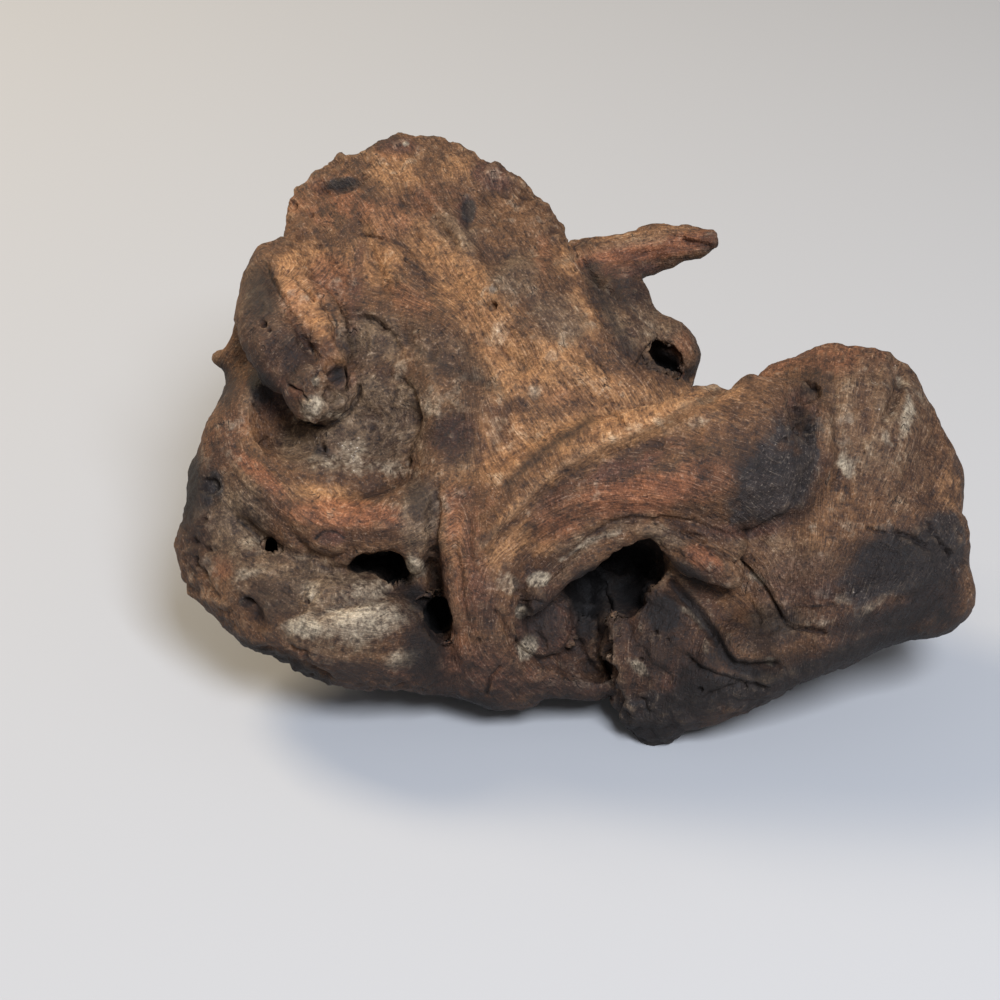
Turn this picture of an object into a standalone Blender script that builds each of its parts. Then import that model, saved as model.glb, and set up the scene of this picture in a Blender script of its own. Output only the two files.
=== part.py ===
"""Aquarium driftwood: one weathered root crown, grown and worn as a single piece.

The wood is sculpted from closed strokes (limbs, lips, roots) and lumps that are fused by a voxel
remesh, then hollowed by cutters, worn by formulas and reduced to facets.
Lengths in the tables are millimetres. Points of the front are given as seen from the front view:
right and up of the middle of that view, and near, the distance towards the eye.
"""

import math

import bmesh
import bpy
import numpy as np
from mathutils import Matrix, Vector, noise

MM = 0.001

# The front view, on which the forms are drawn
VIEW_TILT = math.radians(33)
EYE_DISTANCE = 650.0
VIEW_HEIGHT = 60.0

# Resolution of the three stages of fusing, and how often each is smoothed
MASS_VOXEL, MASS_SMOOTHING = 2.6, 10
LIMB_VOXEL, LIMB_SMOOTHING = 1.8, 6
HOLLOW_VOXEL, HOLLOW_SMOOTHING = 1.5, 2
FACETS = 11300
WOOD_COLOUR = (0.168, 0.088, 0.045, 1.0)


def seen(right, up, near):
    """World position in millimetres of a point of the front view."""
    shrink = 1.0 - near / EYE_DISTANCE
    up_axis = Vector((0.0, math.sin(VIEW_TILT), math.cos(VIEW_TILT)))
    eye_axis = Vector((0.0, -math.cos(VIEW_TILT), math.sin(VIEW_TILT)))
    return Vector((right * shrink, 0.0, VIEW_HEIGHT)) + up_axis * (up * shrink) + eye_axis * near


TO_EYE = Vector((0.0, -math.cos(VIEW_TILT), math.sin(VIEW_TILT)))


def clear_scene():
    for obj in list(bpy.data.objects):
        bpy.data.objects.remove(obj, do_unlink=True)


def linked(name, mesh):
    obj = bpy.data.objects.new(name, mesh)
    bpy.context.scene.collection.objects.link(obj)
    return obj


def smooth_path(stations, steps=5):
    """Catmull-Rom points through the stations, radii included."""
    rows = np.array(stations, float)
    rows = np.vstack([2 * rows[0] - rows[1], rows, 2 * rows[-1] - rows[-2]])
    found = []
    for a, b, c, d in zip(rows, rows[1:], rows[2:], rows[3:]):
        for t in np.arange(steps) / steps:
            found.append(0.5 * (2 * b + (c - a) * t + (2 * a - 5 * b + 4 * c - d) * t * t
                                + (3 * b - a - 3 * c + d) * t ** 3))
    found.append(rows[-2])
    return np.array(found)


def tube(stations, facing, sides=16, dome=4):
    """A closed shell of oval rings. A station is x, y, z, half width and half depth, in millimetres.
    The half depth lies along facing."""
    path = smooth_path(stations)
    tangents = np.gradient(path[:, :3], axis=0)
    rings = []
    for row, tangent in zip(path, tangents):
        rings.append((Vector(row[:3]), Vector(tangent).normalized(), max(row[3], 0.6), max(row[4], 0.6)))
    first, last = rings[0], rings[-1]
    start = [(first[0] - first[1] * min(first[2], first[3]) * math.sin(a), first[1],
              first[2] * math.cos(a), first[3] * math.cos(a))
             for a in np.linspace(math.pi / 2 * 0.9, math.pi / 2 / dome, dome)]
    end = [(last[0] + last[1] * min(last[2], last[3]) * math.sin(a), last[1],
            last[2] * math.cos(a), last[3] * math.cos(a))
           for a in np.linspace(math.pi / 2 / dome, math.pi / 2 * 0.9, dome)]
    bm = bmesh.new()
    loops = []
    for centre, tangent, wide, deep in start + rings + end:
        across = tangent.cross(facing).normalized()
        outward = across.cross(tangent).normalized()
        loops.append([bm.verts.new((centre + across * (wide * math.cos(a)) + outward * (deep * math.sin(a))) * MM)
                      for a in np.arange(sides) * (2 * math.pi / sides)])
    for a, b in zip(loops, loops[1:]):
        for k in range(sides):
            bm.faces.new((a[k], a[(k + 1) % sides], b[(k + 1) % sides], b[k]))
    bm.faces.new(loops[0][::-1])
    bm.faces.new(loops[-1])
    bmesh.ops.recalc_face_normals(bm, faces=bm.faces)
    mesh = bpy.data.meshes.new("stroke")
    bm.to_mesh(mesh)
    bm.free()
    return linked("stroke", mesh)


def stroke(*stations):
    """A limb of the front view: stations of right, up, near, half width and half depth."""
    return tube([(*seen(*s[:3]), s[3], s[4]) for s in stations], TO_EYE)


def root(facing, *stations):
    """A limb given in the wood's own frame: stations of x, y, z, half width and half depth."""
    return tube(stations, Vector(facing).normalized())


def lump(centre, radii, turn=0.0, tilt=0.0):
    """An ellipsoid of the front view. turn rolls it in the view, tilt leans its top to the eye, in degrees."""
    frame = Matrix((Vector((1, 0, 0)), TO_EYE.cross(Vector((1, 0, 0))), TO_EYE)).transposed().to_4x4()
    spin = Matrix.Rotation(math.radians(turn), 4, "Z") @ Matrix.Rotation(math.radians(tilt), 4, "X")
    size = Matrix.Diagonal((*[r * MM for r in radii], 1.0))
    place = Matrix.Translation(seen(*centre) * MM) @ frame @ spin @ size
    return ball(place)


def boulder(centre, radii, turn=0.0):
    """An ellipsoid in the wood's own frame, turned about the vertical by turn degrees."""
    place = (Matrix.Translation(Vector(centre) * MM) @ Matrix.Rotation(math.radians(turn), 4, "Z")
             @ Matrix.Diagonal((*[r * MM for r in radii], 1.0)))
    return ball(place)


def ball(place):
    bm = bmesh.new()
    bmesh.ops.create_icosphere(bm, subdivisions=4, radius=1.0, matrix=place)
    mesh = bpy.data.meshes.new("lump")
    bm.to_mesh(mesh)
    bm.free()
    return linked("lump", mesh)


def applied(obj):
    """Replaces the object's mesh by the one that its modifiers make."""
    bpy.context.view_layer.update()
    graph = bpy.context.evaluated_depsgraph_get()
    mesh = bpy.data.meshes.new_from_object(obj.evaluated_get(graph), depsgraph=graph)
    obj.modifiers.clear()
    obj.data = mesh
    return obj


def fused(shells, voxel, smoothing):
    """One closed body from overlapping shells."""
    bm = bmesh.new()
    for shell in shells:
        bm.from_mesh(shell.data)
        bpy.data.objects.remove(shell, do_unlink=True)
    mesh = bpy.data.meshes.new("fused")
    bm.to_mesh(mesh)
    bm.free()
    body = linked("fused", mesh)
    remesh = body.modifiers.new("Remesh", "REMESH")
    remesh.mode = "VOXEL"
    remesh.voxel_size = voxel * MM
    if smoothing:
        smooth = body.modifiers.new("Smooth", "SMOOTH")
        smooth.factor = 0.5
        smooth.iterations = smoothing
    return applied(body)


def carved(body, cutters, voxel):
    """The body less the cutters."""
    cutter = fused(cutters, voxel, 2)
    cut = body.modifiers.new("Hollows", "BOOLEAN")
    cut.operation = "DIFFERENCE"
    cut.solver = "MANIFOLD"
    cut.object = cutter
    applied(body)
    bpy.data.objects.remove(cutter, do_unlink=True)
    return body


def masses():
    """The crown's bulk: the leaning crest, the left core and belly, the right block, the hidden back."""
    return [
        stroke((-28, 105, -34, 15, 7), (-29, 98, -32, 30, 9), (-27, 89, -28, 39, 12), (-26, 78, -24, 43, 15),
               (-23, 66, -19, 48, 18), (-21, 54, -15, 49, 21), (-13, 42, -11, 48, 24), (-2, 28, -6, 50, 27),
               (8, 12, -2, 54, 28), (14, -6, -4, 46, 26)),
        stroke((-22, 103, -32, 6, 5), (-11, 99, -32, 5, 6), (-5, 92.5, -31, 5, 7), (5, 85.5, -29, 6, 8),
               (14, 78.5, -27, 6, 9)),
        stroke((-53, 96, -30, 6, 5), (-57, 88, -27, 6, 6), (-60, 79, -23, 5, 7), (-64, 70, -18, 5, 8)),
        lump((-48, 10, -10), (44, 38, 27)),
        stroke((-84, -14, -5, 14, 18), (-72, -27, 3, 16, 20), (-52, -36, 7, 18, 22), (-32, -39, 5, 18, 21),
               (-12, -44, 0, 15, 17)),
        lump((103, 6, -4), (29, 40, 27)),
        lump((117, -16, -2), (24, 26, 26)),
        lump((95, 20, -8), (28, 25, 24)),
        lump((86, -16, 4), (28, 23, 23)),
        stroke((98, 39, -10, 6, 8), (111, 37, -8, 7, 9), (120, 29, -8, 8, 10), (125, 16, -6, 9, 12),
               (130, 3, -5, 9, 14)),
        lump((24, -32, -10), (26, 27, 18)),
        boulder((-16, 42, 60), (58, 32, 42)),
        boulder((2, 42, 36), (48, 27, 30)),
        boulder((66, 17, 60), (48, 30, 28)),
    ]


def limbs():
    """What stands out of the bulk at the front and on top."""
    return [
        # shoulder from the crest down to the saddle before the block
        stroke((4, 56, -16, 11, 11), (15, 42, -10, 12, 12), (36, 27, -4, 12, 12), (60, 22, 0, 11, 12)),
        # ridge that runs down the crest
        stroke((-32, 94, -27, 9, 5), (-26, 76, -14, 11, 5), (-14, 58, -3, 12, 6), (0, 42, 5, 14, 6),
               (12, 28, 12, 14, 7)),
        # arm that sweeps from the column over the arch to the block
        stroke((-10, -14, 16, 14, 10), (0, -5, 21, 14, 12), (16, 4, 24, 14, 13), (38, 10, 26, 16, 13),
               (60, 14, 26, 18, 14), (76, 18, 24, 20, 13), (86, 20, 21, 19, 12), (90, 20, 19, 17, 11)),
        # lower rim of the block, down to the foot
        stroke((126, -24, 4, 14, 18), (110, -31, 10, 15, 20), (86, -40, 14, 15, 18), (62, -47, 13, 16, 15),
               (48, -60, 4, 11, 11)),
        stroke((64, -22, 10, 14, 12), (58, -36, 13, 20, 11), (54, -50, 10, 19, 11), (49, -63, 2, 11, 9)),
        # column between the two halves
        stroke((-2, 12, 14, 20, 10), (-3, -4, 20, 16, 11), (-4, -20, 22, 13, 11), (-4, -34, 17, 13, 11),
               (-4, -46, 9, 17, 11), (-6, -53, 3, 20, 9)),
        stroke((2, -50, 8, 9, 8), (16, -53, 8, 7, 6), (28, -55, 5, 6, 5)),
        # left shoulder and outer rim
        stroke((-71, 58, -16, 7, 8), (-75, 46, -16, 7, 8), (-77.5, 34, -14, 7, 10), (-80.5, 22, -8, 8, 13),
               (-82.5, 8, -4, 11, 16), (-82, -6, -4, 13, 18), (-79, -20, -4, 13, 18)),
        lump((-85, 42.5, -14), (4, 3, 4)),
        # ledge under the bowl
        stroke((-86, 26, 0, 6, 6), (-81, 14, 6, 8, 7), (-70, 2, 13, 9, 7), (-58, -6, 17, 10, 8),
               (-44, -9, 20, 11, 8), (-30, -8, 22, 11, 8), (-16, -4, 21, 12, 8)),
        # right rim of the bowl
        stroke((-34, 60, -8, 11, 6), (-23, 47, 3, 12, 6), (-13, 34, 9, 13, 7), (-8, 20, 13, 14, 7),
               (-14, 6, 18, 12, 7)),
        # broken branch, its web and the loop behind the shoulder
        stroke((14, 64, -46, 12, 9), (30, 70, -49, 10, 8), (42, 74, -50, 8, 7), (52, 75.5, -49, 6.5, 5.5),
               (59, 76.8, -48, 4.6, 4.5), (64, 77.3, -47, 3, 3)),
        stroke((31, 66, -50, 12, 7), (36, 58, -50, 11.5, 7), (39, 50, -48, 10, 8), (41, 44, -44, 9, 9)),
        lump((45, 41.5, -40), (16, 14.5, 13)),
        # feet under the belly and behind the leg
        root((0, -1, 0), (-36, -4, 34, 16, 14), (-37, -7, 18, 13, 12), (-38, -8, 4, 9, 9)),
        root((0, -1, 0), (48, -30, 20, 14, 12), (47, -34, 4, 9, 8)),
    ]


def back_ridges():
    """Buttress roots that run down the hidden back; the middle one is the third foot."""
    outward = (0, 1, 0.2)
    return [
        root(outward, (-56, 58, 96, 11, 8), (-60, 56, 80, 12, 9), (-64, 52, 62, 13, 9), (-70, 47, 44, 12, 9),
             (-76, 42, 32, 8, 6)),
        root(outward, (-36, 80, 118, 12, 7), (-33, 76, 98, 14, 8), (-28, 73, 76, 15, 9), (-26, 68, 52, 14, 10),
             (-31, 60, 32, 12, 9), (-36, 54, 22, 8, 6)),
        root(outward, (-4, 70, 98, 13, 8), (0, 72, 84, 15, 9), (4, 71, 64, 17, 11), (7, 67, 44, 20, 13),
             (7, 64, 22, 16, 12), (7, 62, 3, 11, 9)),
        root(outward, (30, 58, 62, 14, 10), (36, 58, 52, 14, 10), (36, 56, 36, 12, 9), (34, 52, 22, 8, 7)),
        root(outward, (98, 22, 80, 14, 10), (94, 32, 62, 15, 10), (84, 38, 46, 13, 9), (72, 38, 36, 9, 7)),
    ]


def hollows():
    """The bowl, the cave under the arch, the smaller holes and the underside."""
    return [
        lump((-40, 22, 42), (25, 22, 30)),
        lump((-68, 25, 18), (10, 13, 16), turn=15),
        lump((-58, 19, 30), (13, 11, 20)),
        lump((37, -21.5, 22), (14.5, 11.5, 34)),
        lump((22, -37, 26), (9.5, 15, 19), turn=-12),
        lump((33, -42, 20), (3.5, 15, 18), turn=-10),
        lump((51, 43, -26), (7, 5, 15), turn=-45),
        lump((-36, -20, 20), (12, 5, 28)),
        lump((-19.5, -33, 18), (4, 8, 24)),
        lump((-69, -14, 12), (3, 3, 16)),
        boulder((12, 14, -6), (44, 38, 18)),
    ]


def overhangs():
    """What stands over or inside the hollows."""
    return [
        # lip of the arch, ending in a tongue
        stroke((-1, -40, 19, 4, 5), (8, -30, 26, 4, 5), (19, -19, 29, 4, 5), (30, -11.5, 31, 3.5, 5),
               (40, -8.5, 32, 3.2, 5), (50, -9.5, 33, 3.2, 5), (60, -14.5, 33, 4.5, 4), (68, -20, 32, 6, 4),
               (73, -24, 30, 5, 4)),
        # lobe over the bowl, its fibrous edge and the knot stub
        stroke((-65, 68, -16, 9, 10), (-66.5, 61, -2, 12, 12), (-65.5, 53, 8, 14, 12), (-64, 46, 13, 13, 11),
               (-62, 41, 14, 10, 9)),
        stroke((-67, 69, -5, 4, 5), (-60, 60, 8, 5, 4), (-53, 50, 16, 6, 5), (-49, 43, 19, 6, 5)),
        stroke((-57, 41, 14, 8, 8), (-54.5, 35, 19, 8, 8), (-53, 31, 22, 7, 6)),
        # knob in the corner of the cave and thin walls inside it
        lump((9, -28, 25), (5.5, 7.5, 6), turn=-20),
        stroke((24, -31, 9, 4, 6), (26, -41, 9, 5, 6), (29, -53, 4, 4, 5)),
        stroke((12, -32, 6, 8, 6), (17, -42, 5, 9, 6), (22, -52, 3, 8, 5)),
    ]


# Creases and ridges of the front: depth (below nought stands out), half width, then right and up
CREASES = (
    (4.0, 1.7, ((-19, 3), (-20, -8), (-19, -24), (-17, -38), (-14, -50))),
    (3.5, 1.8, ((42, -5.5), (52, -5.5), (62, -7), (74, -7), (86, -1), (94, 9))),
    (3.0, 2.2, ((99, 24), (99, 14), (96, 6), (90, -1))),
    (3.5, 2.2, ((60, -29), (68, -38), (74, -45), (82, -51), (92, -56))),
    (2.5, 1.8, ((73, -22), (78, -28), (84, -34), (91, -38), (101, -38.5))),
    (2.5, 2.0, ((-36, 56), (-33, 52), (-31, 47), (-27, 43))),
    (3.0, 2.2, ((-56, 94.5), (-50, 95), (-43, 96.5))),
    (3.0, 3.0, ((-10.5, 88), (-9.5, 85))),
    (2.0, 3.0, ((-28, 80), (-20, 70), (-12, 60), (-4, 48), (6, 40))),
    (-1.8, 3.5, ((-24, 92), (-12, 78), (-2, 64), (8, 50), (22, 38), (46, 28), (64, 26))),
    (2.2, 3.0, ((-42, 82), (-38, 72), (-36, 64))),
    (2.0, 3.0, ((14, 12), (28, 18), (46, 24), (64, 30))),
    (-1.5, 3.0, ((-62, -44), (-46, -47), (-30, -47))),
    (2.5, 3.0, ((-86, 4), (-87, 0))),
    (3.0, 3.0, ((-52, 32), (-50, 32))),
    (2.0, 2.5, ((-78, -34), (-72, -38))),
    (2.0, 2.5, ((104, 40), (103, 26), (100, 12))),
    (2.0, 2.5, ((119, 38), (116, 22), (110, 6))),
    (2.5, 2.5, ((131, 18), (124, 6), (118, -2))),
    (2.0, 2.5, ((137, -8), (124, -8), (108, -12))),
)


def ramp(value, low, high):
    """Goes smoothly from nought at low to one at high."""
    t = np.clip((value - low) / (high - low), 0.0, 1.0)
    return t * t * (3.0 - 2.0 * t)


def distance_to_line(points, line):
    """Distance of each point of the front view from a broken line."""
    best = np.full(len(points), 1e9)
    for a, b in zip(line, line[1:]):
        a = np.array(a, float)
        span = np.array(b, float) - a
        t = np.clip((points - a) @ span / (span @ span), 0.0, 1.0)
        best = np.minimum(best, np.linalg.norm(points - a - t[:, None] * span, axis=1))
    return best


def rough(points, size):
    """Smooth noise between minus one and one; size holds the length of a wave along x, y and z."""
    return np.array([noise.noise(Vector(p)) for p in points / np.array(size)])


def worn(body):
    """Moves the skin along its normals: creases of the front, grain, the block's ribs, the back's furrows."""
    mesh = body.data
    count = len(mesh.vertices)
    place = np.empty(count * 3)
    mesh.vertices.foreach_get("co", place)
    place = place.reshape(-1, 3) / MM
    normal = np.empty(count * 3)
    mesh.vertices.foreach_get("normal", normal)
    normal = normal.reshape(-1, 3)
    eye = np.array(TO_EYE)
    up_axis = np.array((0.0, math.sin(VIEW_TILT), math.cos(VIEW_TILT)))
    offset = place - np.array((0.0, 0.0, VIEW_HEIGHT))
    near = offset @ eye
    drawn = np.stack([offset[:, 0], offset @ up_axis], 1) / (1.0 - near / EYE_DISTANCE)[:, None]
    facing = normal @ eye
    front = ramp(facing, 0.05, 0.45) * ramp(near, -45.0, -30.0)
    back = ramp(-normal @ np.array((0.0, -0.94, 0.34)), 0.0, 0.5)

    depth = np.zeros(count)
    for deep, wide, line in CREASES:
        depth += deep * np.exp(-(distance_to_line(drawn, line) / wide) ** 2) * front
    # grain of the crest runs down to the right
    along = drawn @ np.array((0.6, -0.8))
    across = drawn @ np.array((0.8, 0.6))
    flow = np.stack([along, across, near], 1)
    crest = front * ramp(drawn[:, 1], 20.0, 40.0) * ramp(-drawn[:, 0], -60.0, -40.0)
    depth += crest * 1.6 * rough(flow, (36.0, 12.0, 24.0))
    # ribs of the block fan out to its top edge
    fan = np.arctan2(drawn[:, 0] - 88.0, drawn[:, 1] + 90.0)
    ribs = front * ramp(drawn[:, 0], 94.0, 104.0) * ramp(drawn[:, 1], -16.0, 0.0)
    depth += ribs * 0.6 * np.sin(fan * 82.0 + 3.0 * rough(place, (24.0, 24.0, 24.0)))
    # furrows of the back run up and down
    bent = place[:, 0] + 7.0 * rough(place + 50.0, (30.0, 30.0, 34.0))
    furrow = 1.0 - np.abs(rough(np.stack([bent, place[:, 1] * 0.4, place[:, 2] * 0.3], 1), (13.0, 13.0, 13.0))) * 3.0
    depth += back * (4.5 - 3.0 * ramp(place[:, 0], 40.0, 70.0)) * np.clip(furrow, -0.6, 1.0)
    # wear of the whole skin
    depth += 1.8 * rough(place + 200.0, (17.0, 17.0, 17.0))
    place -= normal * depth[:, None]
    mesh.vertices.foreach_set("co", (place * MM).ravel())
    mesh.update()
    return body


def set_down(wood):
    """Cuts the feet flat at the floor and puts the middle of the wood's box over the origin."""
    floor = boulder((0, 0, 0), (1, 1, 1))
    bm = bmesh.new()
    bmesh.ops.create_cube(bm, size=1.0, matrix=Matrix.Translation((0, 0, -0.1)) @ Matrix.Diagonal((1, 1, 0.2, 1)))
    bm.to_mesh(floor.data)
    bm.free()
    cut = wood.modifiers.new("Floor", "BOOLEAN")
    cut.operation = "DIFFERENCE"
    cut.solver = "EXACT"
    cut.object = floor
    applied(wood)
    bpy.data.objects.remove(floor, do_unlink=True)
    corners = np.array([corner[:] for corner in wood.bound_box])
    middle = (corners.min(axis=0) + corners.max(axis=0)) / 2
    middle[2] = corners[:, 2].min()
    wood.data.transform(Matrix.Translation(-Vector(middle)))
    return middle


def weathered_wood():
    material = bpy.data.materials.new("weathered wood")
    material.use_nodes = True
    surface = material.node_tree.nodes["Principled BSDF"]
    surface.inputs["Base Color"].default_value = WOOD_COLOUR
    surface.inputs["Roughness"].default_value = 0.85
    surface.inputs["Metallic"].default_value = 0.0
    return material


def build():
    clear_scene()
    bulk = fused(masses(), MASS_VOXEL, MASS_SMOOTHING)
    wood = fused([bulk] + limbs() + back_ridges(), LIMB_VOXEL, LIMB_SMOOTHING)
    wood = carved(wood, hollows(), HOLLOW_VOXEL)
    wood = fused([wood] + overhangs(), HOLLOW_VOXEL, HOLLOW_SMOOTHING)
    wood = fused([worn(wood)], HOLLOW_VOXEL, 0)
    reduce = wood.modifiers.new("Facets", "DECIMATE")
    reduce.ratio = min(1.0, FACETS / (2 * len(wood.data.polygons)))
    applied(wood)
    middle = set_down(wood)
    wood.name = "driftwood"
    wood.data.name = "driftwood"
    wood.data.materials.append(weathered_wood())
    return middle


middle = build()
print("middle of the drawing, in metres:", [round(float(value), 5) for value in middle])
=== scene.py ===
# %% [markdown]
# # Aquarium driftwood
# A piece of tank wood is the crown of an old root: grown as one piece, then worn hollow by water,
# insects and rot, and dried. This lesson builds its skin as one closed mesh, and then its finish.
# The CAD model gives the size and the main forms; the skin stands for it and stays inside its box.

# %% Load the frame
import math

import bmesh
import bpy
import numpy as np
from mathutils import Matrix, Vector


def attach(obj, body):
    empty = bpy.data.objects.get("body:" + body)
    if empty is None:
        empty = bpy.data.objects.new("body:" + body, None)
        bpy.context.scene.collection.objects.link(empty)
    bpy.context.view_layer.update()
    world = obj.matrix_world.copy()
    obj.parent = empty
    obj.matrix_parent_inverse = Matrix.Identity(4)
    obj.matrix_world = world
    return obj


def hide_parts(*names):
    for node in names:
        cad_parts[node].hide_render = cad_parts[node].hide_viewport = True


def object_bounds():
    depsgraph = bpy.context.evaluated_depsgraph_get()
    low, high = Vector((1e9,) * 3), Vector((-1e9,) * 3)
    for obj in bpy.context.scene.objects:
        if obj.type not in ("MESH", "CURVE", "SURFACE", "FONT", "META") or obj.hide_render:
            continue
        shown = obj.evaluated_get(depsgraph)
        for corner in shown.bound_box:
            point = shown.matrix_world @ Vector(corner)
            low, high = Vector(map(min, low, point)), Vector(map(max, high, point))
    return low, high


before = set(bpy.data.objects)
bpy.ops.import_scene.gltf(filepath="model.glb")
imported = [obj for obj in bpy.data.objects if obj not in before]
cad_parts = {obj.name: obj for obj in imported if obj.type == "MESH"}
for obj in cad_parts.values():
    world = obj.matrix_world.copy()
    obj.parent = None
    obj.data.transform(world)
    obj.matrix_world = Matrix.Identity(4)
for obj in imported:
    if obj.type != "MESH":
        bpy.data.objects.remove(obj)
cad_box = [[float(value) for value in corner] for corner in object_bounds()]
print("CAD box, in metres:", cad_box)

# %% [markdown]
# ## The front view
# The wood has no straight edges to measure from, so its forms are drawn on the front view: right and
# up of the middle of the view in millimetres, and near, the distance towards the eye. One function
# turns such a point into a place in the model, and the same numbers set up the camera.

# %% The front view and the camera
MM = 0.001
VIEW_TILT = math.radians(33)
EYE_DISTANCE = 650.0
VIEW_WIDTH = 300.0
# height of the view's middle over the floor, and the wood's middle in the frame it is drawn in
VIEW_HEIGHT = 60.0
MIDDLE = np.array((20.45, 21.61, 0.0))
SENSOR = 36.0

up_axis = np.array((0.0, math.sin(VIEW_TILT), math.cos(VIEW_TILT)))
eye_axis = np.array((0.0, -math.cos(VIEW_TILT), math.sin(VIEW_TILT)))


def seen(points):
    """Place in millimetres of rows of right, up and near: what is nearer to the eye is drawn larger."""
    right, up, near = np.atleast_2d(np.array(points, float)).T
    shrink = 1.0 - near / EYE_DISTANCE
    place = np.outer(up * shrink, up_axis) + np.outer(near, eye_axis)
    place[:, 0] += right * shrink
    place[:, 2] += VIEW_HEIGHT
    return place - MIDDLE


def drawn(place):
    """The reverse: right, up and near of places in millimetres."""
    offset = place + MIDDLE - np.array((0.0, 0.0, VIEW_HEIGHT))
    near = offset @ eye_axis
    shrink = 1.0 - near / EYE_DISTANCE
    return np.stack([offset[:, 0] / shrink, (offset @ up_axis) / shrink, near], 1)


def in_scene(name, data):
    """A new object that shows this data, linked to the scene."""
    obj = bpy.data.objects.new(name, data)
    bpy.context.scene.collection.objects.link(obj)
    return obj


camera_data = bpy.data.cameras.new("camera")
camera_data.sensor_width = SENSOR
camera_data.lens = SENSOR * EYE_DISTANCE / VIEW_WIDTH
camera_data.clip_start = 0.01
camera = in_scene("camera", camera_data)
camera.location = seen((0.0, 0.0, EYE_DISTANCE))[0] * MM
camera.rotation_euler = Vector(eye_axis).to_track_quat("Z", "Y").to_euler()
bpy.context.scene.camera = camera
print("camera at", [round(value, 3) for value in camera.location], "lens", camera_data.lens)

# %% [markdown]
# ## Closed shells
# The crown is limbs and swellings that grew into each other. They could be sculpted by hand, but
# then they couldn't be changed by a number. Here a limb is a profile carried along a path: an oval
# ring at each point of a smooth curve, closed by a dome at each end. A lump is an ellipsoid. Both
# are grids of points worked out as whole arrays, and each one is a closed shell, because only closed
# shells can be fused into one body.

# %% Shells as grids
RING_SIDES = 18
DOME_RINGS = 4
BALL_RINGS = 17
BALL_SIDES = 28
THINNEST = 0.6


def grid_shell(rings):
    """A closed shell from rings of points: neighbours on the grid make quads, the first and last ring
    are closed by a face. rings has the shape (ring, side, 3), in millimetres."""
    count, sides = rings.shape[:2]
    ring, side = np.meshgrid(np.arange(count - 1), np.arange(sides), indexing="ij")
    after = (side + 1) % sides
    quads = np.stack([ring * sides + side, ring * sides + after,
                      (ring + 1) * sides + after, (ring + 1) * sides + side], -1).reshape(-1, 4)
    ends = [list(range(sides))[::-1], list(range((count - 1) * sides, count * sides))]
    return rings.reshape(-1, 3), quads.tolist() + ends


def smooth_path(stations, steps=6):
    """Catmull-Rom curve: between two stations a cubic whose slope at each is half the way from the
    station before to the station after. Radii are carried along with the place."""
    rows = np.array(stations, float)
    rows = np.vstack([2 * rows[0] - rows[1], rows, 2 * rows[-1] - rows[-2]])
    t = (np.arange(steps) / steps)[None, :, None]
    a, b, c, d = (rows[k:len(rows) - 3 + k, None] for k in range(4))
    curve = 0.5 * (2 * b + (c - a) * t + (2 * a - 5 * b + 4 * c - d) * t ** 2
                   + (3 * b - a - 3 * c + d) * t ** 3)
    return np.vstack([curve.reshape(-1, rows.shape[1]), rows[-2]])


def unit(rows):
    """Each row divided by its length."""
    return rows / np.linalg.norm(rows, axis=1, keepdims=True)


def tube(stations, facing):
    """Oval rings square to a path, wide across it and deep along facing, with a quarter circle of
    shrinking rings at both ends: the width times the cosine, the advance times the sine."""
    path = smooth_path(stations)
    place, radii = path[:, :3], np.maximum(path[:, 3:5], THINNEST)
    tangent = unit(np.gradient(place, axis=0))
    turn = np.linspace(0.0, math.pi / 2 * 0.9, DOME_RINGS + 1)[1:]
    for end, sign in ((0, -1), (-1, 1)):
        reach = sign * radii[end].min() * np.sin(turn)[:, None] * tangent[end]
        shrunk = radii[end] * np.cos(turn)[:, None]
        dome = place[end] + reach, shrunk, np.repeat(tangent[end][None], DOME_RINGS, 0)
        rows = list(zip(dome, (place, radii, tangent)))
        if end == 0:
            place, radii, tangent = (np.vstack([part[::-1], whole]) for part, whole in rows)
        else:
            place, radii, tangent = (np.vstack([whole, part]) for part, whole in rows)
    across = unit(np.cross(tangent, facing))
    outward = unit(np.cross(across, tangent))
    angle = np.arange(RING_SIDES) * 2 * math.pi / RING_SIDES
    rings = (place[:, None] + across[:, None] * (radii[:, :1] * np.cos(angle))[..., None]
             + outward[:, None] * (radii[:, 1:] * np.sin(angle))[..., None])
    return grid_shell(rings)


def stroke(*stations):
    """A limb of the front view: stations of right, up, near, half width and half depth."""
    rows = np.array(stations, float)
    return tube(np.hstack([seen(rows[:, :3]), rows[:, 3:]]), eye_axis)


def root(facing, *stations):
    """A limb in the wood's own frame: stations of x, y, z, half width and half depth."""
    rows = np.array(stations, float)
    rows[:, :3] -= MIDDLE
    return tube(rows, unit(np.array([facing], float))[0])


def ball(centre, axes, radii):
    """An ellipsoid: circles of latitude, each the cosine of its latitude wide, the sine of it high. The
    outer two stop short of the poles, so the faces that close them have a size."""
    latitude = np.linspace(-math.pi / 2 * 0.97, math.pi / 2 * 0.97, BALL_RINGS)
    angle = np.arange(BALL_SIDES) * 2 * math.pi / BALL_SIDES
    wide = np.cos(latitude)[:, None]
    sphere = np.stack([wide * np.cos(angle), wide * np.sin(angle),
                       np.repeat(np.sin(latitude)[:, None], BALL_SIDES, 1)], -1)
    return grid_shell(centre + (sphere * radii) @ axes)


def lump(centre, radii, turn=0.0):
    """An ellipsoid of the front view, rolled by turn degrees: its axes are right, up and near."""
    c, s = math.cos(math.radians(turn)), math.sin(math.radians(turn))
    right = np.array((1.0, 0.0, 0.0))
    axes = np.array((right * c + up_axis * s, up_axis * c - right * s, eye_axis))
    return ball(seen(centre)[0], axes, radii)


def boulder(centre, radii):
    """An ellipsoid in the wood's own frame."""
    return ball(np.array(centre, float) - MIDDLE, np.eye(3), radii)


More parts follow.
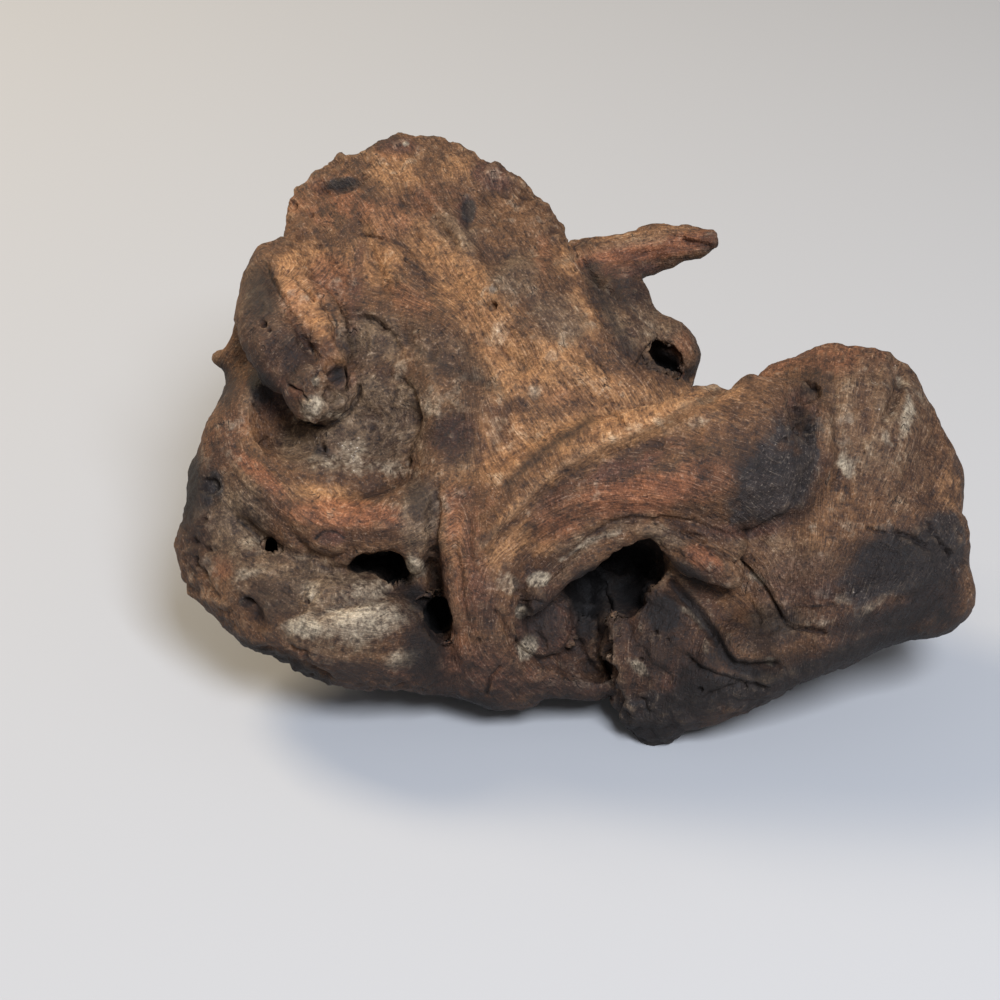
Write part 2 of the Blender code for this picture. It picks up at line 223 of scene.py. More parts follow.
# %% [markdown]
# ## Chance that can be repeated
# Worn wood is irregular at every scale. Blender has noise textures, but a shape needs its noise
# here, as numbers. This smooth random field gives the same place the same number every time, so the
# wood always comes out the same.

# %% Smooth noise
def ramp(value, low, high):
    """Nought below low, one above high, with a smooth S between: 3t squared less 2t cubed."""
    t = np.clip((value - low) / (high - low), 0.0, 1.0)
    return t * t * (3.0 - 2.0 * t)


def noise(points, seed=0):
    """Gradient noise from about minus one to one. Each whole-number corner has a random slope, found by
    mixing the bits of its numbers; the eight slopes round a point are blended by a fifth-power S."""
    cell = np.floor(points).astype(np.int64)
    inside = points - cell
    blend = inside ** 3 * (inside * (inside * 6.0 - 15.0) + 10.0)
    total = np.zeros(len(points))
    for corner in np.ndindex(2, 2, 2):
        corner = np.array(corner)
        x, y, z = (cell + corner).T
        mixed = (x * 374761393 + y * 668265263 + z * 2147483647 + seed * 1274126177) & 0xFFFFFFFF
        mixed = ((mixed ^ (mixed >> 13)) * 1103515245) & 0xFFFFFFFF
        mixed = ((mixed ^ (mixed >> 16)) * 2246822519) & 0xFFFFFFFF
        mixed = mixed ^ (mixed >> 15)
        slope = np.stack([mixed & 1023, (mixed >> 10) & 1023, (mixed >> 20) & 1023], 1) / 511.5 - 1.0
        weight = np.where(corner, blend, 1.0 - blend).prod(axis=1)
        total += weight * (slope * (inside - corner)).sum(axis=1)
    return total * 1.5


def ellipses(rows, points):
    """The strongest of a list of patches at each point of the front view: a flat-topped bell of the
    distance in half sizes, times the patch's strength."""
    found = np.zeros(len(points))
    for right, up, wide, high, turn, strength in rows:
        c, s = math.cos(math.radians(turn)), math.sin(math.radians(turn))
        dx, dy = points[:, 0] - right, points[:, 1] - up
        away = np.hypot((dx * c + dy * s) / wide, (dy * c - dx * s) / high)
        found = np.maximum(found, strength * np.exp(-0.7 * away ** 4))
    return found


# %% [markdown]
# ## Fusing and carving
# Wood flows from one limb into the next. A voxel remesh turns overlapping shells into one skin, and a
# few rounds of smoothing fillet the joints, which a union of solids would leave sharp. Hollows are
# fused the same way and then subtracted.

# %% Meshes and their points
def shells_object(name, shells):
    """One mesh object from shells: their points stacked, each face's numbers moved on by the points
    before it."""
    starts = np.cumsum([0] + [len(points) for points, faces in shells])
    points = np.vstack([points for points, faces in shells]) * MM
    faces = [[int(start) + k for k in face] for start, (_, shell) in zip(starts, shells) for face in shell]
    mesh = bpy.data.meshes.new(name)
    mesh.from_pydata(points.tolist(), [], faces)
    return in_scene(name, mesh)


def places_of(obj):
    """Places in millimetres and normals of an object's points, as rows."""
    count = len(obj.data.vertices)
    place, normal = np.empty(count * 3), np.empty(count * 3)
    obj.data.vertices.foreach_get("co", place)
    obj.data.vertices.foreach_get("normal", normal)
    return place.reshape(-1, 3) / MM, normal.reshape(-1, 3)


def set_places(obj, place):
    """Puts an object's points at these places in millimetres."""
    obj.data.vertices.foreach_set("co", (place * MM).ravel())
    obj.data.update()


def edge_pairs(obj):
    """The two point numbers of each of an object's edges, as rows."""
    pairs = np.empty(len(obj.data.edges) * 2, np.int64)
    obj.data.edges.foreach_get("vertices", pairs)
    return pairs.reshape(-1, 2)


def triangle_count(obj):
    """How many triangles an object's faces make: a face of n corners makes n less 2."""
    return sum(len(face.vertices) - 2 for face in obj.data.polygons)


# %% Fuse and carve
def applied(obj):
    """Replaces the object's mesh by the one its modifiers make."""
    bpy.context.view_layer.update()
    graph = bpy.context.evaluated_depsgraph_get()
    mesh = bpy.data.meshes.new_from_object(obj.evaluated_get(graph), depsgraph=graph)
    obj.modifiers.clear()
    obj.data = mesh
    return obj


def remeshed(obj, voxel, smoothing):
    """The outer skin of the object's shells, on a grid of voxel millimetres, then relaxed."""
    remesh = obj.modifiers.new("Remesh", "REMESH")
    remesh.mode = "VOXEL"
    remesh.voxel_size = voxel * MM
    if smoothing:
        smooth = obj.modifiers.new("Smooth", "SMOOTH")
        smooth.factor = 0.5
        smooth.iterations = smoothing
    return applied(obj)


def merged(body, shells):
    """The body with more shells joined to its mesh, not fused yet."""
    extra = shells_object("extra", shells)
    bm = bmesh.new()
    bm.from_mesh(body.data)
    bm.from_mesh(extra.data)
    bm.to_mesh(body.data)
    bm.free()
    bpy.data.objects.remove(extra, do_unlink=True)
    return body


def carved(body, shells, voxel):
    """The body less the fused shells. Noise makes the shells' skin uneven first, so the holes' edges
    come out ragged."""
    cutter = remeshed(shells_object("cutter", shells), voxel, 2)
    place, normal = places_of(cutter)
    uneven = 1.3 * noise(place / 7.0, 31) + 0.7 * noise(place / 3.0, 32)
    set_places(cutter, place + normal * uneven[:, None])
    cut = body.modifiers.new("Hollows", "BOOLEAN")
    cut.operation = "DIFFERENCE"
    cut.solver = "MANIFOLD"
    cut.object = cutter
    applied(body)
    bpy.data.objects.remove(cutter, do_unlink=True)
    return body


# %% [markdown]
# ## The forms of the crown
# The bulk comes first: a crest that leans back, the belly, the block on the right and the back.
# The limbs that stand out of it are added to the smoothed bulk, so each keeps its own shape. The
# numbers are millimetres of the front view, or of the wood's own frame for boulders and roots.

# %% The bulk
def masses():
    """The crown's bulk: the leaning crest, the left core and belly, the right block, the hidden back."""
    return [
        # crest, its broken top edge and its left corner
        stroke((-25, 103.5, -34, 10.5, 6.5), (-28, 97, -32, 27, 9), (-27, 89, -28, 39, 12),
               (-26, 78, -24, 43, 15), (-23, 66, -19, 48, 18), (-21, 54, -15, 49, 21),
               (-13, 42, -11, 48, 24), (-2, 28, -6, 50, 27), (8, 12, -2, 54, 28), (14, -6, -4, 46, 26)),
        stroke((-31, 104.5, -33, 5.5, 6), (-25, 104.8, -32, 6.3, 6), (-17, 103.5, -32, 6.5, 6),
               (-10, 98, -31, 6, 7), (-2, 92.3, -30, 6, 7), (4, 87, -29, 6, 8), (10, 84, -28, 7, 8),
               (14.5, 77.5, -27, 7, 9)),
        stroke((-46, 94.5, -31, 6, 5), (-52, 95.5, -30, 6.5, 5), (-57, 88, -27, 6, 6), (-60, 79, -23, 5, 7),
               (-64, 70, -18, 5, 8)),
        # left core and belly
        lump((-48, 10, -10), (44, 38, 27)),
        stroke((-84, -14, -5, 14, 18), (-72, -27, 3, 16, 20), (-52, -36, 7, 18, 22), (-32, -39, 5, 18, 21),
               (-12, -44, 0, 15, 17)),
        # block and its upper rim
        lump((103, 6, -4), (29, 40, 27)),
        lump((117, -15, -2), (24, 23, 26)),
        lump((95, 20, -8), (28, 25, 24)),
        lump((86, -16, 4), (28, 23, 23)),
        stroke((98, 41, -10, 6, 8), (111, 39.5, -8, 7, 9), (120, 31.5, -8, 8, 10), (125.5, 17, -6, 9, 12),
               (131, 3, -5, 9, 14)),
        # core behind the cave, and the back
        lump((24, -32, -10), (26, 27, 18)),
        boulder((-16, 42, 60), (58, 32, 42)),
        boulder((2, 42, 36), (48, 27, 30)),
        boulder((68, 17, 58), (44, 30, 26)),
    ]


# %% [markdown]
# Limbs, rims and the broken branch stand out of the bulk. Each is a stroke along its middle line.

# %% The limbs
def limbs():
    """What stands out of the bulk at the front and on top."""
    return [
        # shoulder from the crest down to the saddle before the block
        stroke((4, 56, -16, 11, 11), (15, 42, -10, 12, 12), (36, 26, -4, 12, 12), (60, 19, 0, 11, 12)),
        # ridge that runs down the crest
        stroke((-32, 94, -27, 9, 5), (-26, 76, -14, 11, 5), (-14, 58, -3, 12, 6), (0, 42, 5, 14, 6),
               (12, 28, 12, 14, 7)),
        # arm that sweeps from the column over the arch to the block
        stroke((-10, -14, 16, 14, 10), (0, -5, 21, 14, 12), (16, 4, 24, 14, 13), (38, 10, 26, 16, 13),
               (60, 11.5, 26, 18.5, 14), (74, 13, 24.5, 21, 13.5), (84, 16.5, 22, 21.5, 12),
               (90, 19, 19, 18, 11)),
        # lower rim of the block, down to the foot
        stroke((127, -26, 4, 15, 18), (110, -32.5, 10, 13.5, 19), (86, -42, 13, 14, 17),
               (66, -49.5, 11, 15.5, 15), (49, -61.5, 4, 10.5, 10)),
        stroke((58, -22, 10, 17, 12), (53, -36, 13, 22, 10), (51.5, -50, 10, 18, 10), (46.5, -64, 2, 9.5, 9)),
        stroke((36, -22, 14, 3, 4), (33.5, -28, 17, 3.4, 4), (32.5, -36, 18, 4, 5), (33, -44, 17, 4, 5),
               (36, -54, 12, 4, 5), (41, -65, 6, 4, 5)),
        # column between the two halves
        stroke((-2, 12, 14, 20, 10), (-3, -4, 20, 16, 11), (-4, -20, 22, 13, 11), (-4, -34, 17, 13, 11),
               (-4, -46, 9, 17, 11), (-6, -53, 3, 20, 9)),
        stroke((2, -50, 8, 9, 8), (16, -53, 8, 7, 6), (28, -55, 5, 6, 5)),
        # left shoulder and outer rim
        stroke((-71, 58, -16, 7, 8), (-75, 46, -16, 6.5, 8), (-76.5, 34, -14, 6, 10),
               (-80.5, 20, -8, 8.5, 13), (-82.5, 8, -4, 11, 16), (-82, -6, -4, 13, 18),
               (-79, -20, -4, 13, 18)),
        lump((-84.5, 42.5, -14), (3.2, 2.6, 3.5)),
        # ledge under the bowl
        stroke((-82.5, 23, -1, 6, 6), (-80, 13, 6, 8, 7), (-70, 2, 13, 9, 7), (-58, -6, 17, 10, 8),
               (-44, -9, 20, 11, 8), (-30, -8, 22, 11, 8), (-16, -4, 21, 12, 8)),
        # swelling between the lobe and the crest
        stroke((-62, 70, -15, 9, 9), (-54, 64, -7, 9, 8), (-46, 57, -4, 9, 7), (-37, 50, -3, 8, 6)),
        # right rim of the bowl
        stroke((-34, 60, -8, 11, 6), (-23, 47, 3, 12, 6), (-13, 34, 9, 13, 7), (-8, 20, 13, 14, 7),
               (-14, 6, 18, 12, 7)),
        # broken branch, its web and the loop behind the shoulder
        stroke((14, 64, -46, 12, 9), (30, 70, -49, 10, 8), (42, 74, -50, 8, 7), (52, 76, -49, 6.6, 5.5),
               (58, 77.3, -48, 6, 5), (62, 78, -47, 5.4, 4.6)),
        stroke((31, 66, -46, 12, 8), (36, 58, -41, 11.5, 9), (39, 50, -38, 10, 10), (41, 44, -38, 9, 10)),
        lump((45.5, 42, -40), (14.8, 15.2, 13)),
        # feet under the belly and behind the leg
        root((0, -1, 0), (-36, -4, 34, 16, 14), (-37, -7, 18, 13, 12), (-38, -8, 4, 9, 9)),
        root((0, -1, 0), (48, -30, 20, 14, 12), (47, -34, 4, 9, 8)),
        # swelling of the underside below the column
        root((0, -1, 0), (-14, -18, 30, 14, 12), (-12, -18, 14, 11, 9), (-9, -15, 2, 9, 6)),
    ]


# %% [markdown]
# The back can't be seen in the photograph. Root crowns have buttress roots there, that run down.

# %% The back
def back_ridges():
    """Buttress roots that run down the hidden back; the middle one is the third foot."""
    outward = (0, 1, 0.2)
    return [
        root(outward, (-56, 58, 96, 11, 8), (-60, 56, 80, 12, 9), (-64, 52, 62, 13, 9), (-70, 47, 44, 12, 9),
             (-76, 42, 32, 8, 6)),
        root(outward, (-36, 80, 118, 12, 7), (-33, 76, 98, 14, 8), (-28, 73, 76, 15, 9),
             (-26, 68, 52, 14, 10), (-31, 60, 32, 12, 9), (-36, 54, 22, 8, 6)),
        root(outward, (-4, 70, 98, 13, 8), (0, 72, 84, 15, 9), (4, 71, 64, 17, 11), (7, 67, 44, 20, 13),
             (7, 64, 22, 16, 12), (7, 62, 3, 11, 9)),
        root(outward, (30, 58, 62, 14, 10), (36, 58, 52, 14, 10), (36, 56, 36, 12, 9), (34, 52, 22, 8, 7)),
        root(outward, (98, 22, 80, 14, 10), (94, 32, 62, 15, 10), (84, 38, 46, 13, 9), (72, 38, 36, 9, 7)),
    ]


# %% [markdown]
# The hollows are what rot and insects took away: the bowl, the cave under the arch, and the holes.
# They are drawn as the lumps of air that fill them.

# %% The hollows
def hollows():
    """The bowl, the cave under the arch, the smaller holes and the underside."""
    return [
        # bowl
        lump((-42, 24.5, 42), (24, 21.5, 37)),
        lump((-66, 27, 16), (12, 15, 16), turn=25),
        lump((-58, 19, 30), (13, 11, 20)),
        # cave under the arch, from its main room to the slit beside the leg
        lump((37, -19, 22), (14, 9.5, 34), turn=-8),
        lump((27, -26, 18), (8, 10, 30)),
        lump((37.5, -26, 14), (5, 8, 22), turn=15),
        lump((20.5, -38, 26), (8, 13, 21), turn=-12),
        lump((27, -51, 16), (9, 4, 12)),
        lump((30.3, -42, 20), (2.0, 14, 18), turn=3),
        # loop's eye, then the holes of the left half
        lump((49, 42, -16), (9.2, 6.8, 30), turn=-40),
        lump((-39.5, -19.3, 20), (7, 3, 28), turn=8),
        lump((-33, -19.5, 20), (4.4, 5.2, 28), turn=-20),
        lump((-26, -26.5, 29), (8, 5, 9), turn=-42),
        lump((-18.5, -35, 18), (4.8, 7.2, 24)),
        lump((-69, -14, 12), (3, 3, 16)),
        # notches in the outline of the crest, and the underside
        lump((-41, 108.6, -32), (9, 4, 24), turn=48),
        lump((-70.5, 76, -12), (6, 3.4, 20), turn=25),
        boulder((12, 14, -6), (44, 38, 18)),
    ]


# %% [markdown]
# What stands over or in the hollows is added after they are cut, so the cut can't eat it.

# %% Lips, lobe and plates
def overhangs():
    """What stands over or inside the hollows."""
    return [
        # web between the arm and the lip of the arch
        stroke((8, -20, 18, 6, 8), (18, -12, 22, 6, 9), (30, -5, 24, 6, 9), (45, -2, 25, 6, 9),
               (58, -6, 25, 6, 8), (68, -12, 23, 6, 6)),
        # lip of the arch, ending in a tongue
        stroke((4, -34, 21, 4, 5), (9, -29, 22, 4, 5), (14, -25, 23, 4.5, 5), (21, -19.5, 25, 4.5, 5),
               (30, -13, 26.5, 4.2, 5), (37, -9.2, 27.5, 4, 5), (45, -8, 28, 4, 5), (52.5, -12, 28, 4.4, 4.5),
               (59, -16.5, 28.5, 5.8, 4.5), (65, -19.8, 28, 5.6, 4.5), (69, -22.3, 26.5, 4.2, 4)),
        # wall that closes the cave at the back
        lump((50, -23, -20), (12, 15, 10)),
        # lobe over the bowl, its fibrous edge and the knot stub
        stroke((-66.5, 68, -13, 11, 11), (-66.5, 61, -1, 12.5, 12), (-66, 53, 8, 13.2, 13),
               (-65.5, 47, 13, 12.2, 12.5), (-63.5, 42, 14, 9.8, 10.5)),
        stroke((-66, 68, -7, 5, 5), (-59, 59.5, 6.5, 7, 5), (-53.5, 51, 14.5, 7, 5.5),
               (-50.5, 44, 18, 6, 5.5)),
        stroke((-58, 41, 14, 9, 8), (-55, 34.5, 19, 9.5, 8), (-53.5, 30.5, 21, 8.5, 6.5)),
        # tooth beside the left cave
        lump((-25.5, -19.3, 22), (3.2, 3.4, 6)),
        # knob in the corner of the cave and thin walls inside it
        lump((9.5, -28, 24), (5.2, 7, 6), turn=-20),
        lump((14, -37.5, 9), (11, 11, 7), turn=-10),
        stroke((27, -34, -6, 3.5, 5), (27.5, -43, -2, 4.2, 5), (29, -52, 0, 3.5, 5)),
    ]


# %% [markdown]
# ## One skin
# The parts are fused from coarse to fine: the smaller a form is, the finer the grid it is fused on,
# and the less it is smoothed. Between two fusings the bowl's rim is worn round.

# %% Smoothing
def averaged(obj, rounds, share=1.0):
    """The object's places in millimetres after each point has moved, again and again, half the way to
    the mean of its neighbours, times its share."""
    place, _ = places_of(obj)
    a, b = edge_pairs(obj).T
    count = len(place)
    degree = np.bincount(a, minlength=count) + np.bincount(b, minlength=count)
    for _ in range(rounds):
        total = np.stack([np.bincount(a, place[b, k], count) + np.bincount(b, place[a, k], count)
                          for k in range(3)], 1)
        place = place + 0.5 * np.reshape(share, (-1, 1)) * (total / degree[:, None] - place)
    return place


def softened(obj, patches, rounds):
    """The object with its edges worn round inside ellipses of the front view."""
    place, normal = places_of(obj)
    share = ellipses(patches, drawn(place)[:, :2]) * ramp(normal @ eye_axis, -0.2, 0.1)
    set_places(obj, averaged(obj, rounds, share))
    return obj


# %% Sculpt the skin
# grids in millimetres
BULK_VOXEL, LIMB_VOXEL, HOLLOW_VOXEL, SKIN_VOXEL = 2.4, 1.6, 1.4, 1.1
# the bowl's rim and the left edge, as ellipses: right, up, half sizes, turn in degrees, strength
WORN_ROUND = ((-38, 24, 33, 32, 0, 1.0), (-84, 24, 14, 24, 0, 0.7))

bulk, outer, air, lips = masses(), limbs() + back_ridges(), hollows(), overhangs()
print("shells: bulk", len(bulk), "limbs", len(outer), "hollows", len(air), "overhangs", len(lips))
skin = remeshed(shells_object("skin", bulk), BULK_VOXEL, 10)
skin = remeshed(merged(skin, outer), LIMB_VOXEL, 6)
skin = carved(skin, air, HOLLOW_VOXEL)
skin = softened(skin, WORN_ROUND, 30)
skin = remeshed(merged(skin, lips), SKIN_VOXEL, 2)
print("skin:", len(skin.data.vertices), "points,", triangle_count(skin), "triangles")

# %% [markdown]
# ## Wear
# Fibres, cracks and furrows are pushed in or out along the skin's normals by formulas. Most of them
# depend on how far a point lies from a drawn line.

# %% Distance to a line
def distance_to_line(points, line):
    """Distance of each point of the front view from a broken line: the nearest of its pieces."""
    line = np.array(line, float)
    best = np.full(len(points), 1e9)
    for a, b in zip(line, line[1:]):
        span = b - a
        t = np.clip((points - a) @ span / (span @ span), 0.0, 1.0)
        best = np.minimum(best, np.linalg.norm(points - a - t[:, None] * span, axis=1))
    return best


# %% [markdown]
# ## Grain
# The fibres of a root crown swirl round knots and hollows. One number per point, called the grain,
# stays the same along a fibre and changes across it, like the contour lines of a map. It is
# blended from simple fields: straight lines on the crest, circles round the bowl and the cave, a fan
# on the block.

# %% The grain field
# the arm's upper ridge, where the crest's grain meets the arm's: right, and up at each
RIDGE_RIGHT = (-40.0, -4.5, 0.0, 6.0, 12.0, 18.0, 30.0, 36.0, 54.0, 66.0, 110.0)
RIDGE_UP = (-26.0, -15.0, -7.5, -1.5, 4.5, 9.0, 15.6, 18.0, 26.4, 34.0, 60.0)
# the bowl's floor and the belly, where the wood crumbles and the fibres are lost
CRUMBLY = ((-38, 26, 24, 24, 0, 1.0), (-44, -34, 27, 13, 0, 0.75))


def grain_of(view, place):
    """Millimetres across the fibres at each point. Zone by zone: the crest's distance along a slanting
    direction, the distance from the bowl's or the cave's middle, the block's angle about a far point.
    Each zone fades in over a ramp, and at the end slow and quick noise bend the fibres."""
    right, up = view[:, 0], view[:, 1]
    field = right * 0.84 + up * 0.54
    bowl = np.sqrt((right + 39.0) ** 2 + ((up - 24.0) * 1.1) ** 2 + 300.0) - 42.0
    cave = -np.hypot((right - 38.0) * 0.9, (up + 34.0) * 1.2) + 62.0
    fan = np.arctan2(right - 80.0, up + 100.0) * 120.0 + 30.0
    leg = right * 0.95 - up * 0.2
    under_ridge = np.interp(right, RIDGE_RIGHT, RIDGE_UP) - up
    near_bowl = ramp(-np.hypot(right + 42.0, up - 14.0), -62.0, -44.0) * ramp(-right, 2.0, 14.0)
    near_cave = ramp(right, -24.0, -12.0) * ramp(under_ridge, -1.0, 4.0)
    near_fan = ramp(right, 84.0, 96.0)
    near_leg = ramp(-np.hypot((right - 52.0) * 0.8, up + 48.0), -26.0, -18.0)
    branch = up - right * 0.16
    near_branch = ramp(right, 22.0, 32.0) * ramp(up, 58.0, 66.0) * ramp(-view[:, 2], 30.0, 38.0)
    hidden = ramp(-view[:, 2], 44.0, 60.0) * (1.0 - near_branch)
    for zone, share in ((bowl, near_bowl), (cave, near_cave), (fan, near_fan), (leg, near_leg),
                        (branch, near_branch), (place[:, 0], hidden)):
        field = field + (zone - field) * share
    loose = ellipses(CRUMBLY, view[:, :2])
    field = field * (1.0 - 0.75 * loose)
    return field + 2.2 * noise(place / 24.0, 5) + (0.7 + 3.0 * loose) * noise(place / 7.0, 6)


# %% [markdown]
# ## Push and pull
# The relief is a list of lines on the front view: how deep, how wide, and where. A bell curve of the
# distance from the line gives each its section, and a different width on either side turns a groove
# into a step. A displacement texture could do the same, but a line can be moved by changing a number.

# %% Creases
# depth in millimetres (below nought stands out), half width, then the line's right and up
CREASES = (
    (2.0, 1.7, ((-19, 3), (-20, -8), (-19, -24), (-17, -38), (-14, -50))),
    (1.0, 1.8, ((73, -22), (78, -28), (84, -34), (91, -38), (101, -38.5))),
    (2.0, 3.0, ((-28, 80), (-20, 70), (-12, 60), (-4, 48), (6, 40))),
    (-1.8, 3.5, ((-24, 92), (-12, 78), (-2, 64), (8, 50), (22, 38), (46, 28), (64, 26))),
    (2.2, 3.0, ((-42, 82), (-38, 72), (-36, 64))),
    (1.2, 3.0, ((28, 18), (46, 24), (64, 30))),
    (-1.5, 3.0, ((-62, -44), (-46, -47), (-30, -47))),
    (1.5, 3.0, ((-86, 4), (-87, 0))),
    (3.0, 3.0, ((-52, 32), (-50, 32))),
    (2.0, 2.5, ((-78, -34), (-72, -38))),
    (1.5, 2.5, ((131, 18), (124, 6), (118, -2))),
)

